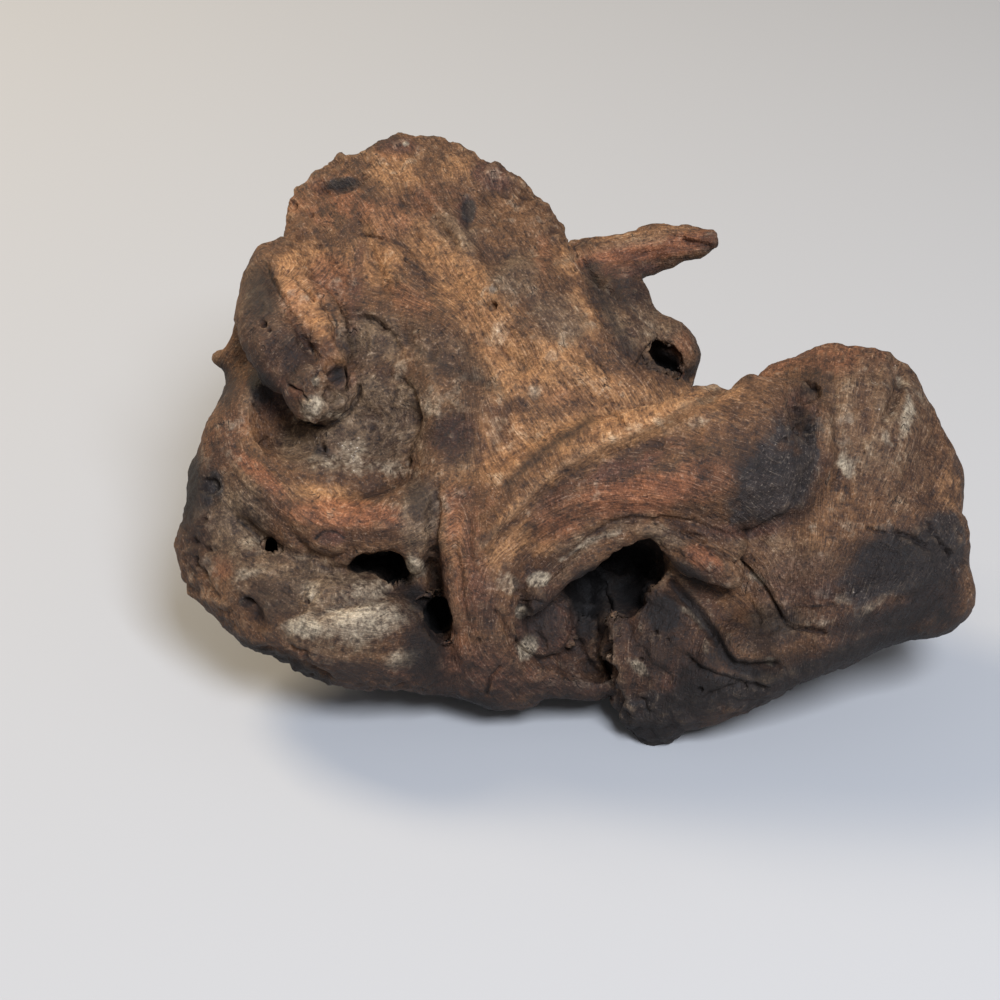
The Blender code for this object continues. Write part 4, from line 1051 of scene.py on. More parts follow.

# %% [markdown]
# ## Where each colour lies
# Fresh root wood is ochre to rust. In the light it goes grey, in wet hollows umber and plum, where it
# has burnt it is charcoal, and minerals from the water leave a pale bloom. Some masks paint light: shade
# is painted shade, worn is rubbed pale wood with painted highlights, and charcoal also paints shade at
# the feet. Each of these is a mask on the skin's points: soft ellipses and bands on the front view, and
# noise on the sides it can't show. An attribute suits this better than a painted image: it needs no
# unwrapping and no file.

# %% Patches
# ellipses on the front view: right, up, half sizes, turn in degrees, strength
PATCHES = {
    "ochre": (
        (-59.4, 71.4, 9, 4.5, 20, 0.9), (1.8, -14.4, 10.2, 5.4, 28, 0.7), (13.5, -13.5, 6, 3.6, 30, 0.6),
        (36, 0.6, 15, 3.6, 8, 0.45), (25.5, 11.4, 6.6, 4.2, 20, 0.5), (60, 22.8, 7.8, 2.7, 14, 0.6),
        (46.5, 22.8, 12, 3.6, 18, 0.8), (90, -12, 9, 2.7, 0, 0.35), (-11.4, 64.5, 26.4, 7.2, -52, 0.9),
        (-37.5, 71.4, 9, 6.6, -30, 0.6), (1.5, 45, 10.2, 6.6, -40, 0.7), (1.5, 15.6, 9, 10.2, 20, 0.6),
        (-31.5, 99, 7.8, 6, 0, 0.6), (-46.5, 71.4, 7.2, 4.8, 0, 0.5), (-34.5, 83.4, 7.8, 6, 0, 0.5),
        (9, 39, 15.6, 6.6, 25, 0.95), (21.6, 34.5, 15, 6.6, 5, 0.8), (30, 24, 12, 5.4, 10, 0.8),
        (19.2, 71.4, 2.7, 7.8, 20, 0.75), (24.9, 56.4, 3.6, 8.4, 25, 0.8),
        (-15.9, 33, 6.6, 4.2, 0, 0.5), (-13.5, 99, 7.2, 4.2, 20, 0.5), (36, 28.5, 18, 4.8, 14, 0.7),
        (6, 19.5, 10.8, 6.6, 30, 0.6), (18, 18, 15, 6.6, 30, 0.55), (-9, 9, 6.6, 4.8, 0, 0.35),
        (71.4, -31.8, 7.2, 4.5, -38, 1), (57, 31.5, 10.5, 3.6, 15, 0.5),
        (-54, 0.6, 13.2, 4.2, -8, 0.85), (-83.4, -19.8, 3, 3.3, 0, 0.9),
        (133.8, 1.5, 4.2, 10.2, -8, 0.55), (96, 0, 12, 7.8, 15, 0.2), (-21, 30, 3, 9, 0, 0.3),
        (42, 79.5, 18, 2.4, 10, 0.4), (-14.4, -9, 4.2, 10.8, 0, 0.5), (-24, 60, 9, 9, 0, 0.2),
    ),
    "rust": (
        (42, -33.6, 6.6, 6, 0, 0.4), (-71.4, 34.5, 5.4, 4.2, 0, 0.5), (36.6, 73.2, 10.2, 2.7, 5, 0.9),
        (-51, 90, 12, 9, 0, 0.4), (-43.5, 88.5, 10.8, 4.8, -20, 0.6), (-51, 67.5, 6.6, 7.8, 0, 0.6),
        (-24, 88.5, 7.2, 5.4, -30, 0.5), (13.5, 73.5, 3.6, 6, 0, 0.4), (18, 31.5, 9, 3.6, 0, 0.4),
        (-60, 52.5, 3, 13.2, 30, 0.5), (-51, 46.5, 3, 4.8, 0, 0.4), (-46.5, -4.2, 21, 4.5, -5, 0.9),
        (-72, 7.5, 12.6, 2.7, -42, 0.85), (-30, -5.4, 7.8, 4.2, 0, 0.6), (-14.4, -6, 4.2, 9, 0, 0.6),
        (-9, -22.5, 6, 15, 0, 0.45), (42, 1.8, 19.8, 6, 8, 1), (60, 6, 12, 7.2, 14, 0.65),
        (18, -6, 10.2, 6.6, 35, 0.6), (61.2, -17.7, 6, 3.3, -32, 0.95),
        (-83.4, -19.8, 3.6, 3.6, 0, 0.8), (-71.4, -29.4, 6, 4.8, 20, 0.4),
        (48, 74.4, 16.8, 2.1, 10, 0.95), (-63, -46.5, 13.2, 3.6, -22, 0.4),
        (-30.6, 85.5, 6, 9, -35, 0.5), (-27, 60, 9, 4.2, -30, 0.45), (54, 46.5, 3.6, 6, -30, 0.5),
        (-61.5, 32.4, 2.4, 2.4, 0, 0.8), (-44.4, 34.5, 1.8, 4.8, 0, 0.7),
        (73.5, -33.6, 6, 3.6, -30, 0.5), (-27, -52.8, 9, 3, -10, 0.7), (102, 41.4, 15, 4.2, 0, 0.55),
        (120, 38.4, 6, 4.8, -30, 0.35), (0, -57, 18, 4.8, 0, 0.45), (-49.5, 63, 9, 6, -20, 0.4),
        (-31.5, 105, 6.6, 3, 0, 0.4), (27, 0, 9, 4.2, 15, 0.6), (-82.5, 18, 5.4, 12, -20, 0.35),
        (-15, -45, 6, 10.8, 0, 0.5),
    ),
    "grey": (
        (0, -25.5, 7.8, 6, 0, 0.4), (-56.4, -24, 10.2, 6, 0, 0.6), (84, -13.5, 9, 4.2, 0, 0.6),
        (-60, -25.5, 18, 10.2, 0, 0.8), (82.8, -36, 9, 6, 0, 0.9), (-51, -42, 18, 4.8, -8, 0.6),
        (114, 30, 18, 15, 0, 0.5), (-60, 17.4, 7.8, 6.6, 0, 0.9), (-47.4, 11.4, 15, 4.2, 0, 0.9),
        (78, -42, 6, 4.8, 0, 0.6), (57, 22.5, 9, 2.4, 14, 0.5), (-13.5, 80.4, 9, 6, -35, 0.6),
        (4.5, 67.5, 7.2, 7.8, -30, 0.7), (18, 54.6, 9.6, 7.2, -35, 0.8),
        (-18, 43.5, 13.5, 7.2, -38, 0.7), (-9, 31.5, 7.8, 9, -30, 0.5), (-71.4, 51, 7.8, 15.6, 15, 0.6),
        (-38.4, 24, 18.6, 15, 0, 0.9), (-38.4, 48, 9.6, 9, 0, 0.85), (-15, 21, 10.2, 13.5, 0, 0.4),
        (45, 53.4, 13.5, 8.4, 0, 0.6), (111, 24, 15, 21, 0, 0.5), (123, 9, 9, 15, -20, 0.35),
        (-45, -27, 18, 7.2, 0, 0.85), (-24.6, -6, 5.4, 12, 0, 0.9), (-79.2, -6.6, 10.2, 13.2, 0, 0.95),
        (-86.4, -6, 4.2, 12, 0, 0.7), (-70.5, -18, 10.8, 4.2, 10, 0.8), (30, -10.5, 18, 2.7, 25, 0.6),
        (18, -19.5, 10.2, 2.7, 38, 0.7), (49.5, -10.5, 7.8, 3, -15, 0.75), (0, 19.5, 12, 6, 0, 0.15),
        (57, 66, 6, 6, 0, 0.5), (90, -22.5, 18, 9, 0, 0.5), (60, -42, 15, 12, 0, 0.2),
        (-75, 66, 4.8, 5.4, 0, 0.3), (-25.5, -20.1, 4.2, 3, 0, 0.8), (8.4, -30, 3.6, 4.2, 0, 0.9),
        (78, -16.5, 12, 4.8, -20, 0.4),
    ),
    "umber": (
        (36.6, 63, 9, 4.8, 0, 0.95), (30, 67.5, 6, 3.6, 10, 0.5), (-15, 19.5, 7.8, 7.2, 10, 0.8),
        (-12, 36, 13.2, 6.6, -45, 0.6), (-60, 46.5, 7.2, 7.2, 0, 0.9), (-71.4, 33.6, 4.8, 6, 0, 1),
        (-81, 33, 4.2, 7.2, 0, 0.5), (-93, -6, 4.8, 15, 0, 0.7), (-68.4, -30, 7.8, 7.2, 0, 0.5),
        (-22.5, -45, 7.2, 10.2, 0, 0.9), (60, -42.6, 4.8, 7.8, -20, 0.9), (78, -42, 9, 4.8, 0, 0.6),
        (-69.6, 31.2, 6, 7.8, 0, 0.8), (-71.4, 46.5, 7.2, 12, 10, 0.85), (-91.5, -6, 5.4, 18, 0, 0.7),
        (13.5, 58.5, 13.2, 5.4, -35, 0.35), (-21, 49.5, 12, 5.4, -40, 0.45), (-12, 21, 6, 4.8, 0, 0.5),
        (45, -60, 18, 10.2, 0, 0.95), (96, -51, 33, 6.6, 18, 0.9), (111, -37.5, 21, 8.4, 10, 0.8),
        (18, -36, 15, 19.2, 0, 0.95), (46.5, -42, 16.8, 16.8, 0, 0.9), (-87, 3, 4.8, 6.6, 0, 0.4),
        (-51, -50.4, 27, 3.6, -12, 0.6), (6, -57, 21, 4.2, 0, 0.6), (105, -30, 24, 9, 10, 0.6),
        (-82.5, 21, 4.8, 18, -20, 0.5), (-90, 0, 3, 15, 0, 0.5), (129, -33, 10.8, 12, 0, 0.8),
        (64.5, -25.5, 10.2, 4.8, -35, 0.7), (-21, -49.5, 4.8, 9, 0, 0.6), (-42, -10.5, 15, 2.4, 0, 0.7),
        (60, -30, 12, 4.2, -35, 0.8), (-18, -30, 4.8, 15, 0, 0.5), (-60, 41.4, 10.2, 6, 20, 0.8),
        (87, -30, 15, 9, 20, 0.4), (-30, -27, 9, 4.2, -20, 0.5), (42, 67.5, 12, 3, 5, 0.5),
    ),
    "plum": (
        (37.5, 69, 10.8, 2.1, 4, 0.9), (37.8, 10.2, 13.2, 3.3, 18, 0.8), (18, 2.4, 9, 2.7, 38, 0.5),
        (57, 18, 12, 3.6, 16, 0.4), (-2.7, 97.2, 6.3, 3.6, -30, 1), (-31.5, 106.5, 6, 2.7, 0, 0.7),
        (-10.2, 86.4, 3.3, 4.5, 0, 0.9), (-48.6, 37.2, 3, 3.6, 30, 0.9), (-9, 0, 7.8, 4.8, 0, 0.5),
        (-8.4, -12, 3, 9, 0, 0.5), (-6, -30, 6, 10.2, 0, 0.6), (-67.5, 33, 6, 6.6, 0, 0.6),
        (-15, 19.2, 6.6, 6, 0, 0.6), (42, 73.5, 15, 1.5, 8, 0.5), (90, 28.5, 6.6, 6, 0, 0.6),
        (73.5, -9, 12, 2.4, 0, 0.6), (-6, -51, 18, 7.8, 0, 0.6), (-51, -11.1, 5.1, 2.7, 0, 0.9),
        (-18, 91.5, 10.2, 4.8, 0, 0.35), (60, -54, 15, 7.8, 0, 0.5), (129, -30, 9, 9, 0, 0.5),
        (21, -57, 12, 4.2, 0, 0.5), (14.4, -37.5, 9, 8.4, 0, 0.6), (90, -24, 18, 7.8, 0, 0.4),
        (-11.4, 21, 4.8, 4.8, 0, 0.6),
    ),
    # charcoal; the patches at the foot under the column and at the leg's foot are painted shade
    "char": (
        (87, 18, 9, 10.2, 0, 0.7), (82.8, 6.6, 13.2, 11.4, 15, 0.95), (74.4, -1.5, 7.8, 6.6, 30, 0.8),
        (122.7, -18.6, 18, 10.2, 8, 0.95), (114, -24, 15, 7.8, 10, 0.7), (132, -9, 7.2, 7.2, 0, 0.9),
        (120, -36, 21, 6, 20, 0.45), (-47.4, 94.8, 5.7, 2.1, 4, 0.8), (-9.6, 86.4, 2.4, 3.9, -8, 0.95),
        (-86.4, 3.3, 3.9, 6, 0, 0.75), (72, -57, 18, 4.8, 14, 0.95), (60, -60, 13.2, 6, 20, 0.95),
        (102, -51.6, 24, 3.6, 22, 0.95), (13.5, -33.6, 4.2, 2.7, 0, 0.4), (18, -18, 4.2, 2.4, 35, 0.4),
        (-76.2, -30.6, 2.7, 2.1, 0, 0.8), (-52.5, 14.4, 4.2, 2.1, -20, 0.6), (9, -31.2, 3, 3, 0, 0.4),
        (46.5, -66.6, 15, 8.4, 0, 0.9), (-12, -64.2, 10.2, 4.8, 0, 1), (43.8, -72, 10.8, 4.2, 0, 0.9),
        (60, -61.5, 15, 4.2, 20, 0.9), (-15.9, 18, 6, 4.8, 0, 0.25), (115.5, 34.5, 3, 6.6, 0, 0.25),
        (84, -57, 18, 4.2, 14, 0.9), (114, -48, 27, 3, 22, 0.8), (14.4, -30, 4.8, 4.2, 0, 0.4),
    ),
    "bloom": (
        (1.8, -24.6, 3.6, 3.6, 0, 0.5), (0.6, 18, 6, 10.2, 8, 0.3), (-44.4, 14.4, 6.6, 4.2, 0, 0.35),
        (42, 21.6, 16.8, 2.1, 18, 0.3), (60, 24, 5.4, 2.1, 10, 0.45), (-48, 11.4, 12, 2.4, 0, 0.4),
        (120, 34.8, 1.2, 3, 10, 0.5), (-55.2, 35.7, 1.2, 1.5, 0, 0.8), (-20.4, 28.8, 2.4, 4.8, 20, 0.3),
        (-40.8, -36.6, 12.6, 5.4, 6, 1), (-58.2, -38.4, 6, 3, -10, 0.9),
        (-28.8, -47.1, 6, 3.6, 20, 0.6), (-40.5, -27.6, 10.2, 3, 12, 0.5),
        (-25.5, -19.5, 3.3, 2.4, 0, 0.9), (11.4, -23.7, 3, 2.1, 20, 1.7),
        (6.3, -33.3, 1.8, 2.1, 0, 1.2), (8.1, -44.4, 2.4, 3.6, -35, 1.4), (-57, -27.6, 3, 3.6, 0, 0.5),
        (-56.4, 27.6, 2.7, 3.9, -20, 0.95), (-50.4, 25.2, 3.6, 1.5, 10, 0.6),
        (121.8, 26.4, 1.2, 3, -10, 0.5), (116.4, 18, 1.2, 3, 30, 0.6), (103.8, 10.2, 2.1, 3.6, 20, 0.9),
        (-75.6, -14.4, 5.4, 2.7, 20, 0.35), (-75, -21.6, 4.8, 1.8, 20, 0.6),
        (-29.4, 38.4, 2.1, 3, -20, 0.45), (10.2, 32.4, 2.1, 3, 0, 0.5), (0, 49.5, 4.2, 3.6, -30, 0.4),
        (102.9, -30, 2.4, 3, 0, 0.4), (114, -30, 6.6, 1.2, 38, 0.6), (77.1, -23.4, 3, 1.2, -30, 0.6),
        (60, -36.6, 4.2, 0.9, -35, 0.6), (61.8, -44.4, 1.2, 2.7, 0, 0.6),
        (42, -50.4, 3.6, 1.5, -35, 0.55), (57, -33.6, 4.2, 0.9, -20, 0.5), (72, -57, 12, 0.6, 10, 0.4),
        (-84.9, 3.6, 0.8, 1.2, 20, 1), (-28.2, 106.8, 0.9, 0.6, 0, 1), (80.7, -48.6, 1.2, 1.2, 0, 1.8),
        (63.6, 34.2, 4.2, 1.2, 0, 0.5), (-37.5, 9, 12, 2.4, 0, 0.35),
    ),
    # painted shade: dark patches where the wood lies in shadow
    "shade": (
        (27.6, -24.6, 5.4, 4.2, 0, 1), (21.6, -29.4, 3.6, 4.2, 0, 0.5), (58.8, -50.4, 7.8, 5.4, 0, 0.6),
        (43.8, -69, 9, 4.2, 0, 0.8), (118.8, -42, 9, 3.6, 14, 0.9), (96, 35.4, 4.8, 6.6, 0, 0.4),
        (-71.4, 33.6, 3.9, 5.4, 20, 0.95), (-84, 34.8, 4.8, 6, 0, 0.6), (-96, 10.8, 4.2, 10.2, 10, 0.7),
        (-64.8, 28.8, 6, 4.2, 0, 0.4), (-12, 12, 4.8, 4.2, 0, 0.3), (72.6, 12.6, 6.6, 5.4, 0, 0.35),
        (-24, 0, 4.2, 7.2, 0, 0.5), (34.8, -37.5, 4.2, 9, 0, 0.35), (25.5, -29.4, 5.4, 7.8, 0, 0.9),
        (36, 63, 9, 5.4, 0, 0.3), (63.6, 76.2, 3.6, 4.8, 0, 0.5), (-71.4, 63, 5.4, 8.4, 10, 0.6),
        (-61.2, 44.4, 6, 5.4, 0, 0.4), (-46.2, 46.5, 3.6, 5.4, 0, 0.45), (-60, 34.2, 4.8, 4.2, 0, 0.4),
        (-94.2, 5.4, 5.4, 13.8, 0, 0.8), (-12, 18, 5.4, 10.2, 10, 0.35), (-61.2, 0, 6, 3.6, 0, 0.3),
        (49.2, -34.2, 6, 6.6, 0, 0.9), (84, -36.6, 6.6, 4.8, 0, 0.6), (13.5, -36.6, 6, 5.4, 0, 0.5),
        (-83.4, 11.4, 5.4, 6, 0, 0.3), (-48.6, 48, 4.8, 4.8, 0, 0.35), (-24, 36, 5.4, 5.4, 0, 0.3),
        (-72.6, 59.4, 4.8, 5.4, 0, 0.5), (-60, 36.6, 5.4, 6, 0, 0.35), (35.4, 61.8, 8.4, 4.8, 0, 0.45),
        (96, 35.4, 3.6, 6, 0, 0.35), (66, 13.2, 10.2, 4.2, 0, 0.3), (-24, 0, 3.6, 6, 0, 0.25),
        (-60, -24, 5.4, 3.6, 0, 0.25), (132, -27, 7.8, 7.2, -30, 0.7), (78, -37.8, 10.8, 5.4, -25, 0.5),
        (108.6, -37.2, 10.2, 4.2, 12, 0.6), (121.5, -34.8, 12, 4.2, 15, 0.8),
        (83.4, -49.2, 10.2, 4.2, 18, 0.5), (58.8, -54, 6.6, 6, 0, 0.95), (48, -36.6, 6.6, 6, 0, 0.5),
        (-36, 108.6, 6.6, 3.6, 0, 0.35), (-24, -30, 6, 3.6, -45, 0.85), (-9, -64.8, 10.2, 4.8, 0, 0.9),
        (12, -36.6, 6.6, 7.2, 0, 0.65), (25.8, -37.5, 3.6, 4.8, 0, 0.7), (43.5, -30, 9, 3.6, -25, 0.6),
        (57, -22.2, 6.6, 2.4, -38, 0.8), (-28.8, -25.8, 4.2, 3, -45, 0.5),
        (-26.4, -33.6, 4.8, 4.8, 0, 0.5), (65.4, -45.6, 3.6, 7.8, -30, 0.6),
        (129, -31.2, 10.2, 5.4, -30, 0.75), (-66, -49.2, 18, 3, -24, 0.9),
        (-22.8, -45, 6, 10.8, 0, 0.7), (60, -57.6, 13.2, 5.4, 18, 0.7), (120, -18, 18, 9, 8, 0.6),
        (48, -43.5, 9, 10.2, 0, 0.5), (-91.5, -6, 2.4, 15, 0, 0.4), (-18, -61.5, 18, 3, 0, 0.8),
        (-15, 19.2, 5.4, 4.8, 0, 0.4), (-48.6, 37.8, 2.7, 3, 0, 0.8), (114, -42, 24, 3.6, 20, 0.6),
        (92.7, 32.7, 2.7, 1.8, 0, 0.7), (91.2, 24, 3, 3.6, 0, 0.5), (-47.4, 94.2, 5.4, 1.8, 4, 0.5),
        (-68.4, -30, 7.2, 6.6, 0, 0.35), (18, -57, 18, 3.6, 0, 0.5), (78, -42, 9, 4.8, 0, 0.35),
        (-60, 46.5, 6, 5.4, 0, 0.3),
    ),
    # rubbed pale wood, and painted highlights on lit ridges and glints
    "worn": (
        (0, -3.6, 7.8, 12, 0, 0.5), (18, 51, 7.2, 9, -20, 0.5), (36, -42, 4.2, 3, 0, 0.4),
        (-83.4, 48.6, 3, 4.8, 0, 0.9), (-72.6, 22.8, 6, 4.8, 0, 0.9), (1.5, -24.6, 6, 5.4, 0, 0.9),
        (57, 22.8, 10.2, 3, 14, 0.5), (46.5, -1.5, 9, 9, 0, 0.35), (25.5, 22.8, 7.8, 4.2, 0, 0.4),
        (13.8, -12, 6, 5.4, 0, 0.4), (0, 9, 5.4, 9, 0, 0.5), (42, 75, 15, 2.4, 8, 0.5),
        (33.6, -24.6, 3, 4.2, 0, 0.6), (-60, 84, 6, 6.6, 0, 0.6), (-60, 60, 5.4, 6, 0, 0.4),
        (-84, 48, 3.6, 6, 0, 0.5), (-72.6, 23.4, 6.6, 5.4, 0, 0.7), (-47.4, 12, 6.6, 4.8, 0, 0.6),
        (-48, 0, 9, 4.2, -5, 0.5), (-46.5, -9.6, 9, 3.6, -5, 0.55), (0, 18, 7.8, 13.2, 10, 1),
        (1.5, 0, 6, 6, 0, 0.5), (13.5, 12.6, 7.8, 4.8, 15, 0.45), (12, -13.5, 5.4, 5.4, 0, 0.55),
        (0, 48, 6.6, 4.8, -20, 0.45), (24, 48, 6.6, 4.2, 0, 0.35), (22.8, 71.4, 3, 7.2, 20, 0.6),
        (37.5, 34.8, 7.8, 3.6, 5, 0.5), (54.9, 46.2, 2.7, 7.8, 0, 0.6), (42, 24, 21, 3.6, 16, 0.5),
        (60, 22.8, 7.8, 3.6, 0, 0.5), (108.6, 24, 7.2, 7.8, 0, 0.45), (42, 0.6, 10.8, 4.2, 5, 0.45),
        (60.6, -21.6, 5.4, 3.6, -35, 0.5), (-46.5, -36, 7.2, 4.2, 0, 0.35),
        (-12.6, -36, 4.8, 10.2, 0, 0.5), (96.6, 11.4, 3.6, 5.4, 0, 0.4), (84.6, 0, 5.4, 4.2, 0, 0.3),
        (-24.6, 97.2, 4.8, 3.6, 0, 0.4), (-34.8, 71.4, 6, 4.8, 0, 0.35), (-35.4, 60, 4.8, 4.8, 0, 0.3),
        (84, -13.5, 9, 3.6, 0, 0.35), (-24, 46.5, 4.2, 3.6, 0, 0.35), (-34.5, -25.5, 4.8, 3, 0, 0.2),
        (60.6, -33.6, 7.8, 3.6, -30, 0.45), (85.5, 15.6, 6, 1.8, 15, 0.5),
    ),
    # pale specks: mineral grains, and in the bowl painted glints
    "fleck": (
        (-45, 13.5, 12, 7.8, 0, 1.3), (-46.5, 15, 18, 9, 0, 0.9), (36, 64.5, 9, 4.8, 0, 0.9),
        (114, 30, 15, 15, 0, 0.8), (-36, 45, 10.2, 10.2, 0, 0.7), (85.5, 18, 10.2, 7.2, 0, 0.9),
        (117, 21, 12, 15, 0, 0.8), (60, -39, 18, 12, 0, 0.7), (-18, -18, 4.2, 12, 0, 0.4),
        (-9, 18, 9, 9, 0, 0.3), (-57, 30, 9, 6, 0, 0.5), (114, -27, 15, 6, 0, 0.6),
        (27, -18, 12, 6, 0, 0.4), (0, 48, 12, 9, 0, 0.5), (10.5, -30, 9, 7.5, 0, 0.6),
    ),
}

# %% Bands
# streaks along a line: half width, strength, then the line
BANDS = {
    "ochre": (
        (1.6, 0.9, ((16.8, 70.8), (27, 74.4), (39, 77.1), (48.6, 78.6))),
        (4.8, 1, ((-64.2, 69), (-60.9, 63), (-57.3, 56.1), (-54.3, 50.1), (-51, 43.2))),
        (4.5, 1, ((27, 14.4), (42, 21), (57, 27), (67.5, 33))),
        (4, 0.5, ((-37.5, 102), (-30, 91.5), (-21, 79.5))),
        (3, 0.5, ((0, -6), (9, 2.4), (18, 9.6))),
    ),
    "rust": (
        (3.5, 0.35, ((-63, 64.5), (-57.6, 55.8), (-50.7, 44.4))),
        (3, 1, ((25.5, 72.6), (36, 74.4), (48, 76.2), (58.5, 77.7), (63.6, 78.6))),
        (3.5, 0.5, ((-18, -42), (-16.2, -30), (-17.4, -18))),
        (3, 0.5, ((114, 44.4), (102, 46.2), (90, 43.2), (78, 38.4))),
    ),
    "grey": (
        (3, 0.8, ((28.2, 69.6), (31.2, 61.2), (34.8, 53.4), (39.6, 46.8))),
        (1.8, 0.6, ((16.8, 70.8), (27, 74.4), (39, 77.1), (48.6, 78.6))),
        (3, 0.6, ((-21, 6), (-20.4, 0), (-19.2, -9))),
        (2, 0.5, ((48, 24), (60, 29.4), (69, 34.2))),
    ),
    "umber": (
        (3, 0.8, ((52.8, -7.5), (69, -11.4), (78, -8.4), (90, -3.6), (93.6, 6), (98.4, 12))),
        (3, 0.7, ((51.6, -24.6), (61.8, -36.6), (66, -43.8), (70.2, -49.5), (78, -51))),
        (2, 0.6, ((109.8, 44.4), (108.6, 33), (109.8, 21))),
    ),
    "plum": (
        (2.5, 0.6, ((-42, 75), (-43.2, 60), (-44.4, 51))),
    ),
    "char": (
        (3.4, 0.95, ((42, -64.8), (57, -61.8), (76.5, -57), (90, -51.6), (106.2, -45.3), (120, -40.8))),
        (2.6, 0.95, ((92.4, 21), (93.6, 14.4), (91.8, 7.8), (88.8, 1.2), (84.6, -3), (78, -5.1))),
    ),
    "bloom": (
        (1.2, 0.5, ((121.5, 34.5), (123.6, 27), (120, 18))),
        (1, 0.6, ((18, -18), (27, -12), (36, -9.6))),
    ),
    # painted shade along grooves and under edges
    "shade": (
        (2, 0.6, ((26.4, 71.4), (30, 61.2), (33.6, 53.4), (38.4, 45), (45, 41.1), (54, 38.1))),
        (2.4, 0.9, ((55.2, -28.8), (61.8, -36.6), (65.1, -41.4), (67.2, -46.2), (70.8, -50.1),
                    (76.8, -51.3))),
        (2.2, 0.6, ((27, 24), (18, 18), (9, 11.4), (2.4, 4.8))),
        (1.6, 0.4, ((-30.6, 49.5), (-16.2, 39.9), (0, 33.3), (2.4, 28.5), (-1.8, 15.6))),
    ),
    "worn": (
        (4.6, 0.8, ((-64.2, 69), (-60.9, 63), (-57.3, 56.1), (-54.3, 50.1), (-51, 43.2))),
    ),
    "fleck": (),
}

# for the hidden sides: size of the clouds in millimetres, where they start and are full, strength
CLOUDS = {"ochre": (22.0, 0.0, 0.4, 0.6), "rust": (15.0, 0.15, 0.45, 0.6), "grey": (25.0, 0.0, 0.35, 0.8),
          "umber": (18.0, 0.05, 0.4, 0.6), "plum": (13.0, 0.2, 0.5, 0.5), "char": (24.0, 0.35, 0.5, 0.9),
          "bloom": (20.0, 0.4, 0.6, 0.7), "shade": (19.0, 0.2, 0.5, 0.5), "worn": (17.0, 0.1, 0.5, 0.4),
          "fleck": (16.0, 0.0, 0.4, 0.5)}


def mask(name, number, place, view, front):
    """The strongest of the mask's patches and bands on the front, and clouds of noise elsewhere. A band
    is a bell curve of the distance from a line."""
    found = ellipses(PATCHES[name], view[:, :2])
    for wide, strength, line in BANDS[name]:
        found = np.maximum(found, strength * np.exp(-(distance_to_line(view[:, :2], line) / wide) ** 2))
    size, start, full, strength = CLOUDS[name]
    return found * front + (1.0 - front) * strength * ramp(noise(place / size, 40 + number), start, full)


# %% Write the masks
# steps narrower than this are cracks, and are drawn as dark lines of this half width
CRACK_WIDTH = 0.65
LINE_WIDTH = 0.5
# painted shade inside the caves: right, up, half sizes, how near to the eye it starts and is full
SHADED_CAVES = ((35, -21, 20, 17, 16, 8), (26, -42, 10, 14, 8, -2), (-37, -18, 13, 6, 15, 8),
         (-27, -25, 9, 7, 13, 5), (-19.5, -33, 6, 11, 12, 4), (51, 43, 9, 8, -31, -36),
         (-69, -14, 4, 4, 9, 4))

place, normal = places_of(skin)
view = drawn(place)
front = ramp(normal @ eye_axis, -0.25, 0.15) * ramp(view[:, 2], -75.0, -55.0)
for number, name in enumerate(PATCHES):
    write_attribute(name, mask(name, number, place, view, front))
write_attribute("grain", grain_of(view, place))
dark_line = np.zeros(len(place))
for deep, left, right, line in STEPS:
    if deep > 0.0 and min(left, right) < CRACK_WIDTH:
        away = distance_to_line(view[:, :2], line)
        dark_line = np.maximum(dark_line, np.exp(-(away / LINE_WIDTH) ** 2))
cave_shade = np.zeros(len(place))
for right, up, wide, high, start, full in SHADED_CAVES:
    inside = ellipses(((right, up, wide, high, 0, 1.0),), view[:, :2])
    cave_shade = np.maximum(cave_shade, inside * ramp(-view[:, 2], -start, -full))
# the painted shade inside the caves, kept to the front
write_attribute("deep", cave_shade * ramp(view[:, 2], -50.0, -45.0))
# painted shade: faces that turn down are painted darker, the more so the lower they lie, with some noise
under = ramp(-normal[:, 2], -0.30, 0.35) * (0.35 + 0.65 * ramp(-place[:, 2], -60.0, -25.0))
write_attribute("underside_shade", (under + 0.35 * noise(place / 9.0, 61) * (under > 0.02)).clip(0.0, 1.0))
write_attribute("line", dark_line * front * (0.6 + 0.8 * noise(place / 2.0, 60)).clip(0.0, 1.0))

# %% [markdown]
# ## The wood's finish
# One material: weathered root wood, dry and matt. Its colours are laid over each other by the masks,
# whose edges are torn by the fibres. The fibres are noise in four dimensions: three are the place,
# stretched long, and the fourth is the grain number, so the streaks follow the grain.

# %% Colours and nodes
def linear(code):
    """An sRGB hex colour as linear light: the low end is divided by 12.92, the rest is a power of 2.4."""
    parts = [int(code[k:k + 2], 16) / 255.0 for k in (0, 2, 4)]
    return [c / 12.92 if c <= 0.04045 else ((c + 0.055) / 1.055) ** 2.4 for c in parts] + [1.0]


def node(kind, inputs=None, out=0, **settings):
    """Adds a node: settings are its properties, inputs its sockets by name or number, each a value or
    another node's output to link. Gives the output asked for. In a Mix node of colours, sockets 0, 6
    and 7 are the share and the two colours, and the mixed one is output 2."""
    made = tree.nodes.new("ShaderNode" + kind)
    for name, value in settings.items():
        setattr(made, name, value)
    for name, value in (inputs or {}).items():
        if isinstance(value, bpy.types.NodeSocket):
            tree.links.new(value, made.inputs[name])
        else:
            made.inputs[name].default_value = value
    return made.outputs[out]


wood = bpy.data.materials.new("weathered root wood")
wood.use_nodes = True
tree = wood.node_tree
surface = tree.nodes["Principled BSDF"]
here = node("TexCoord", out="Object")
MEASURED = ("grain", "line", "deep", "underside_shade", "small_hollow", "large_hollow")
masks = {name: node("Attribute", out="Fac", attribute_name=name) for name in (*PATCHES, *MEASURED)}

# %% [markdown]
# Wood fibres are about 0.03 mm wide, too fine for this picture, so the finest streaks are drawn half
# a millimetre wide. The others are the bundles, the bands of colour and the grains of dirt.

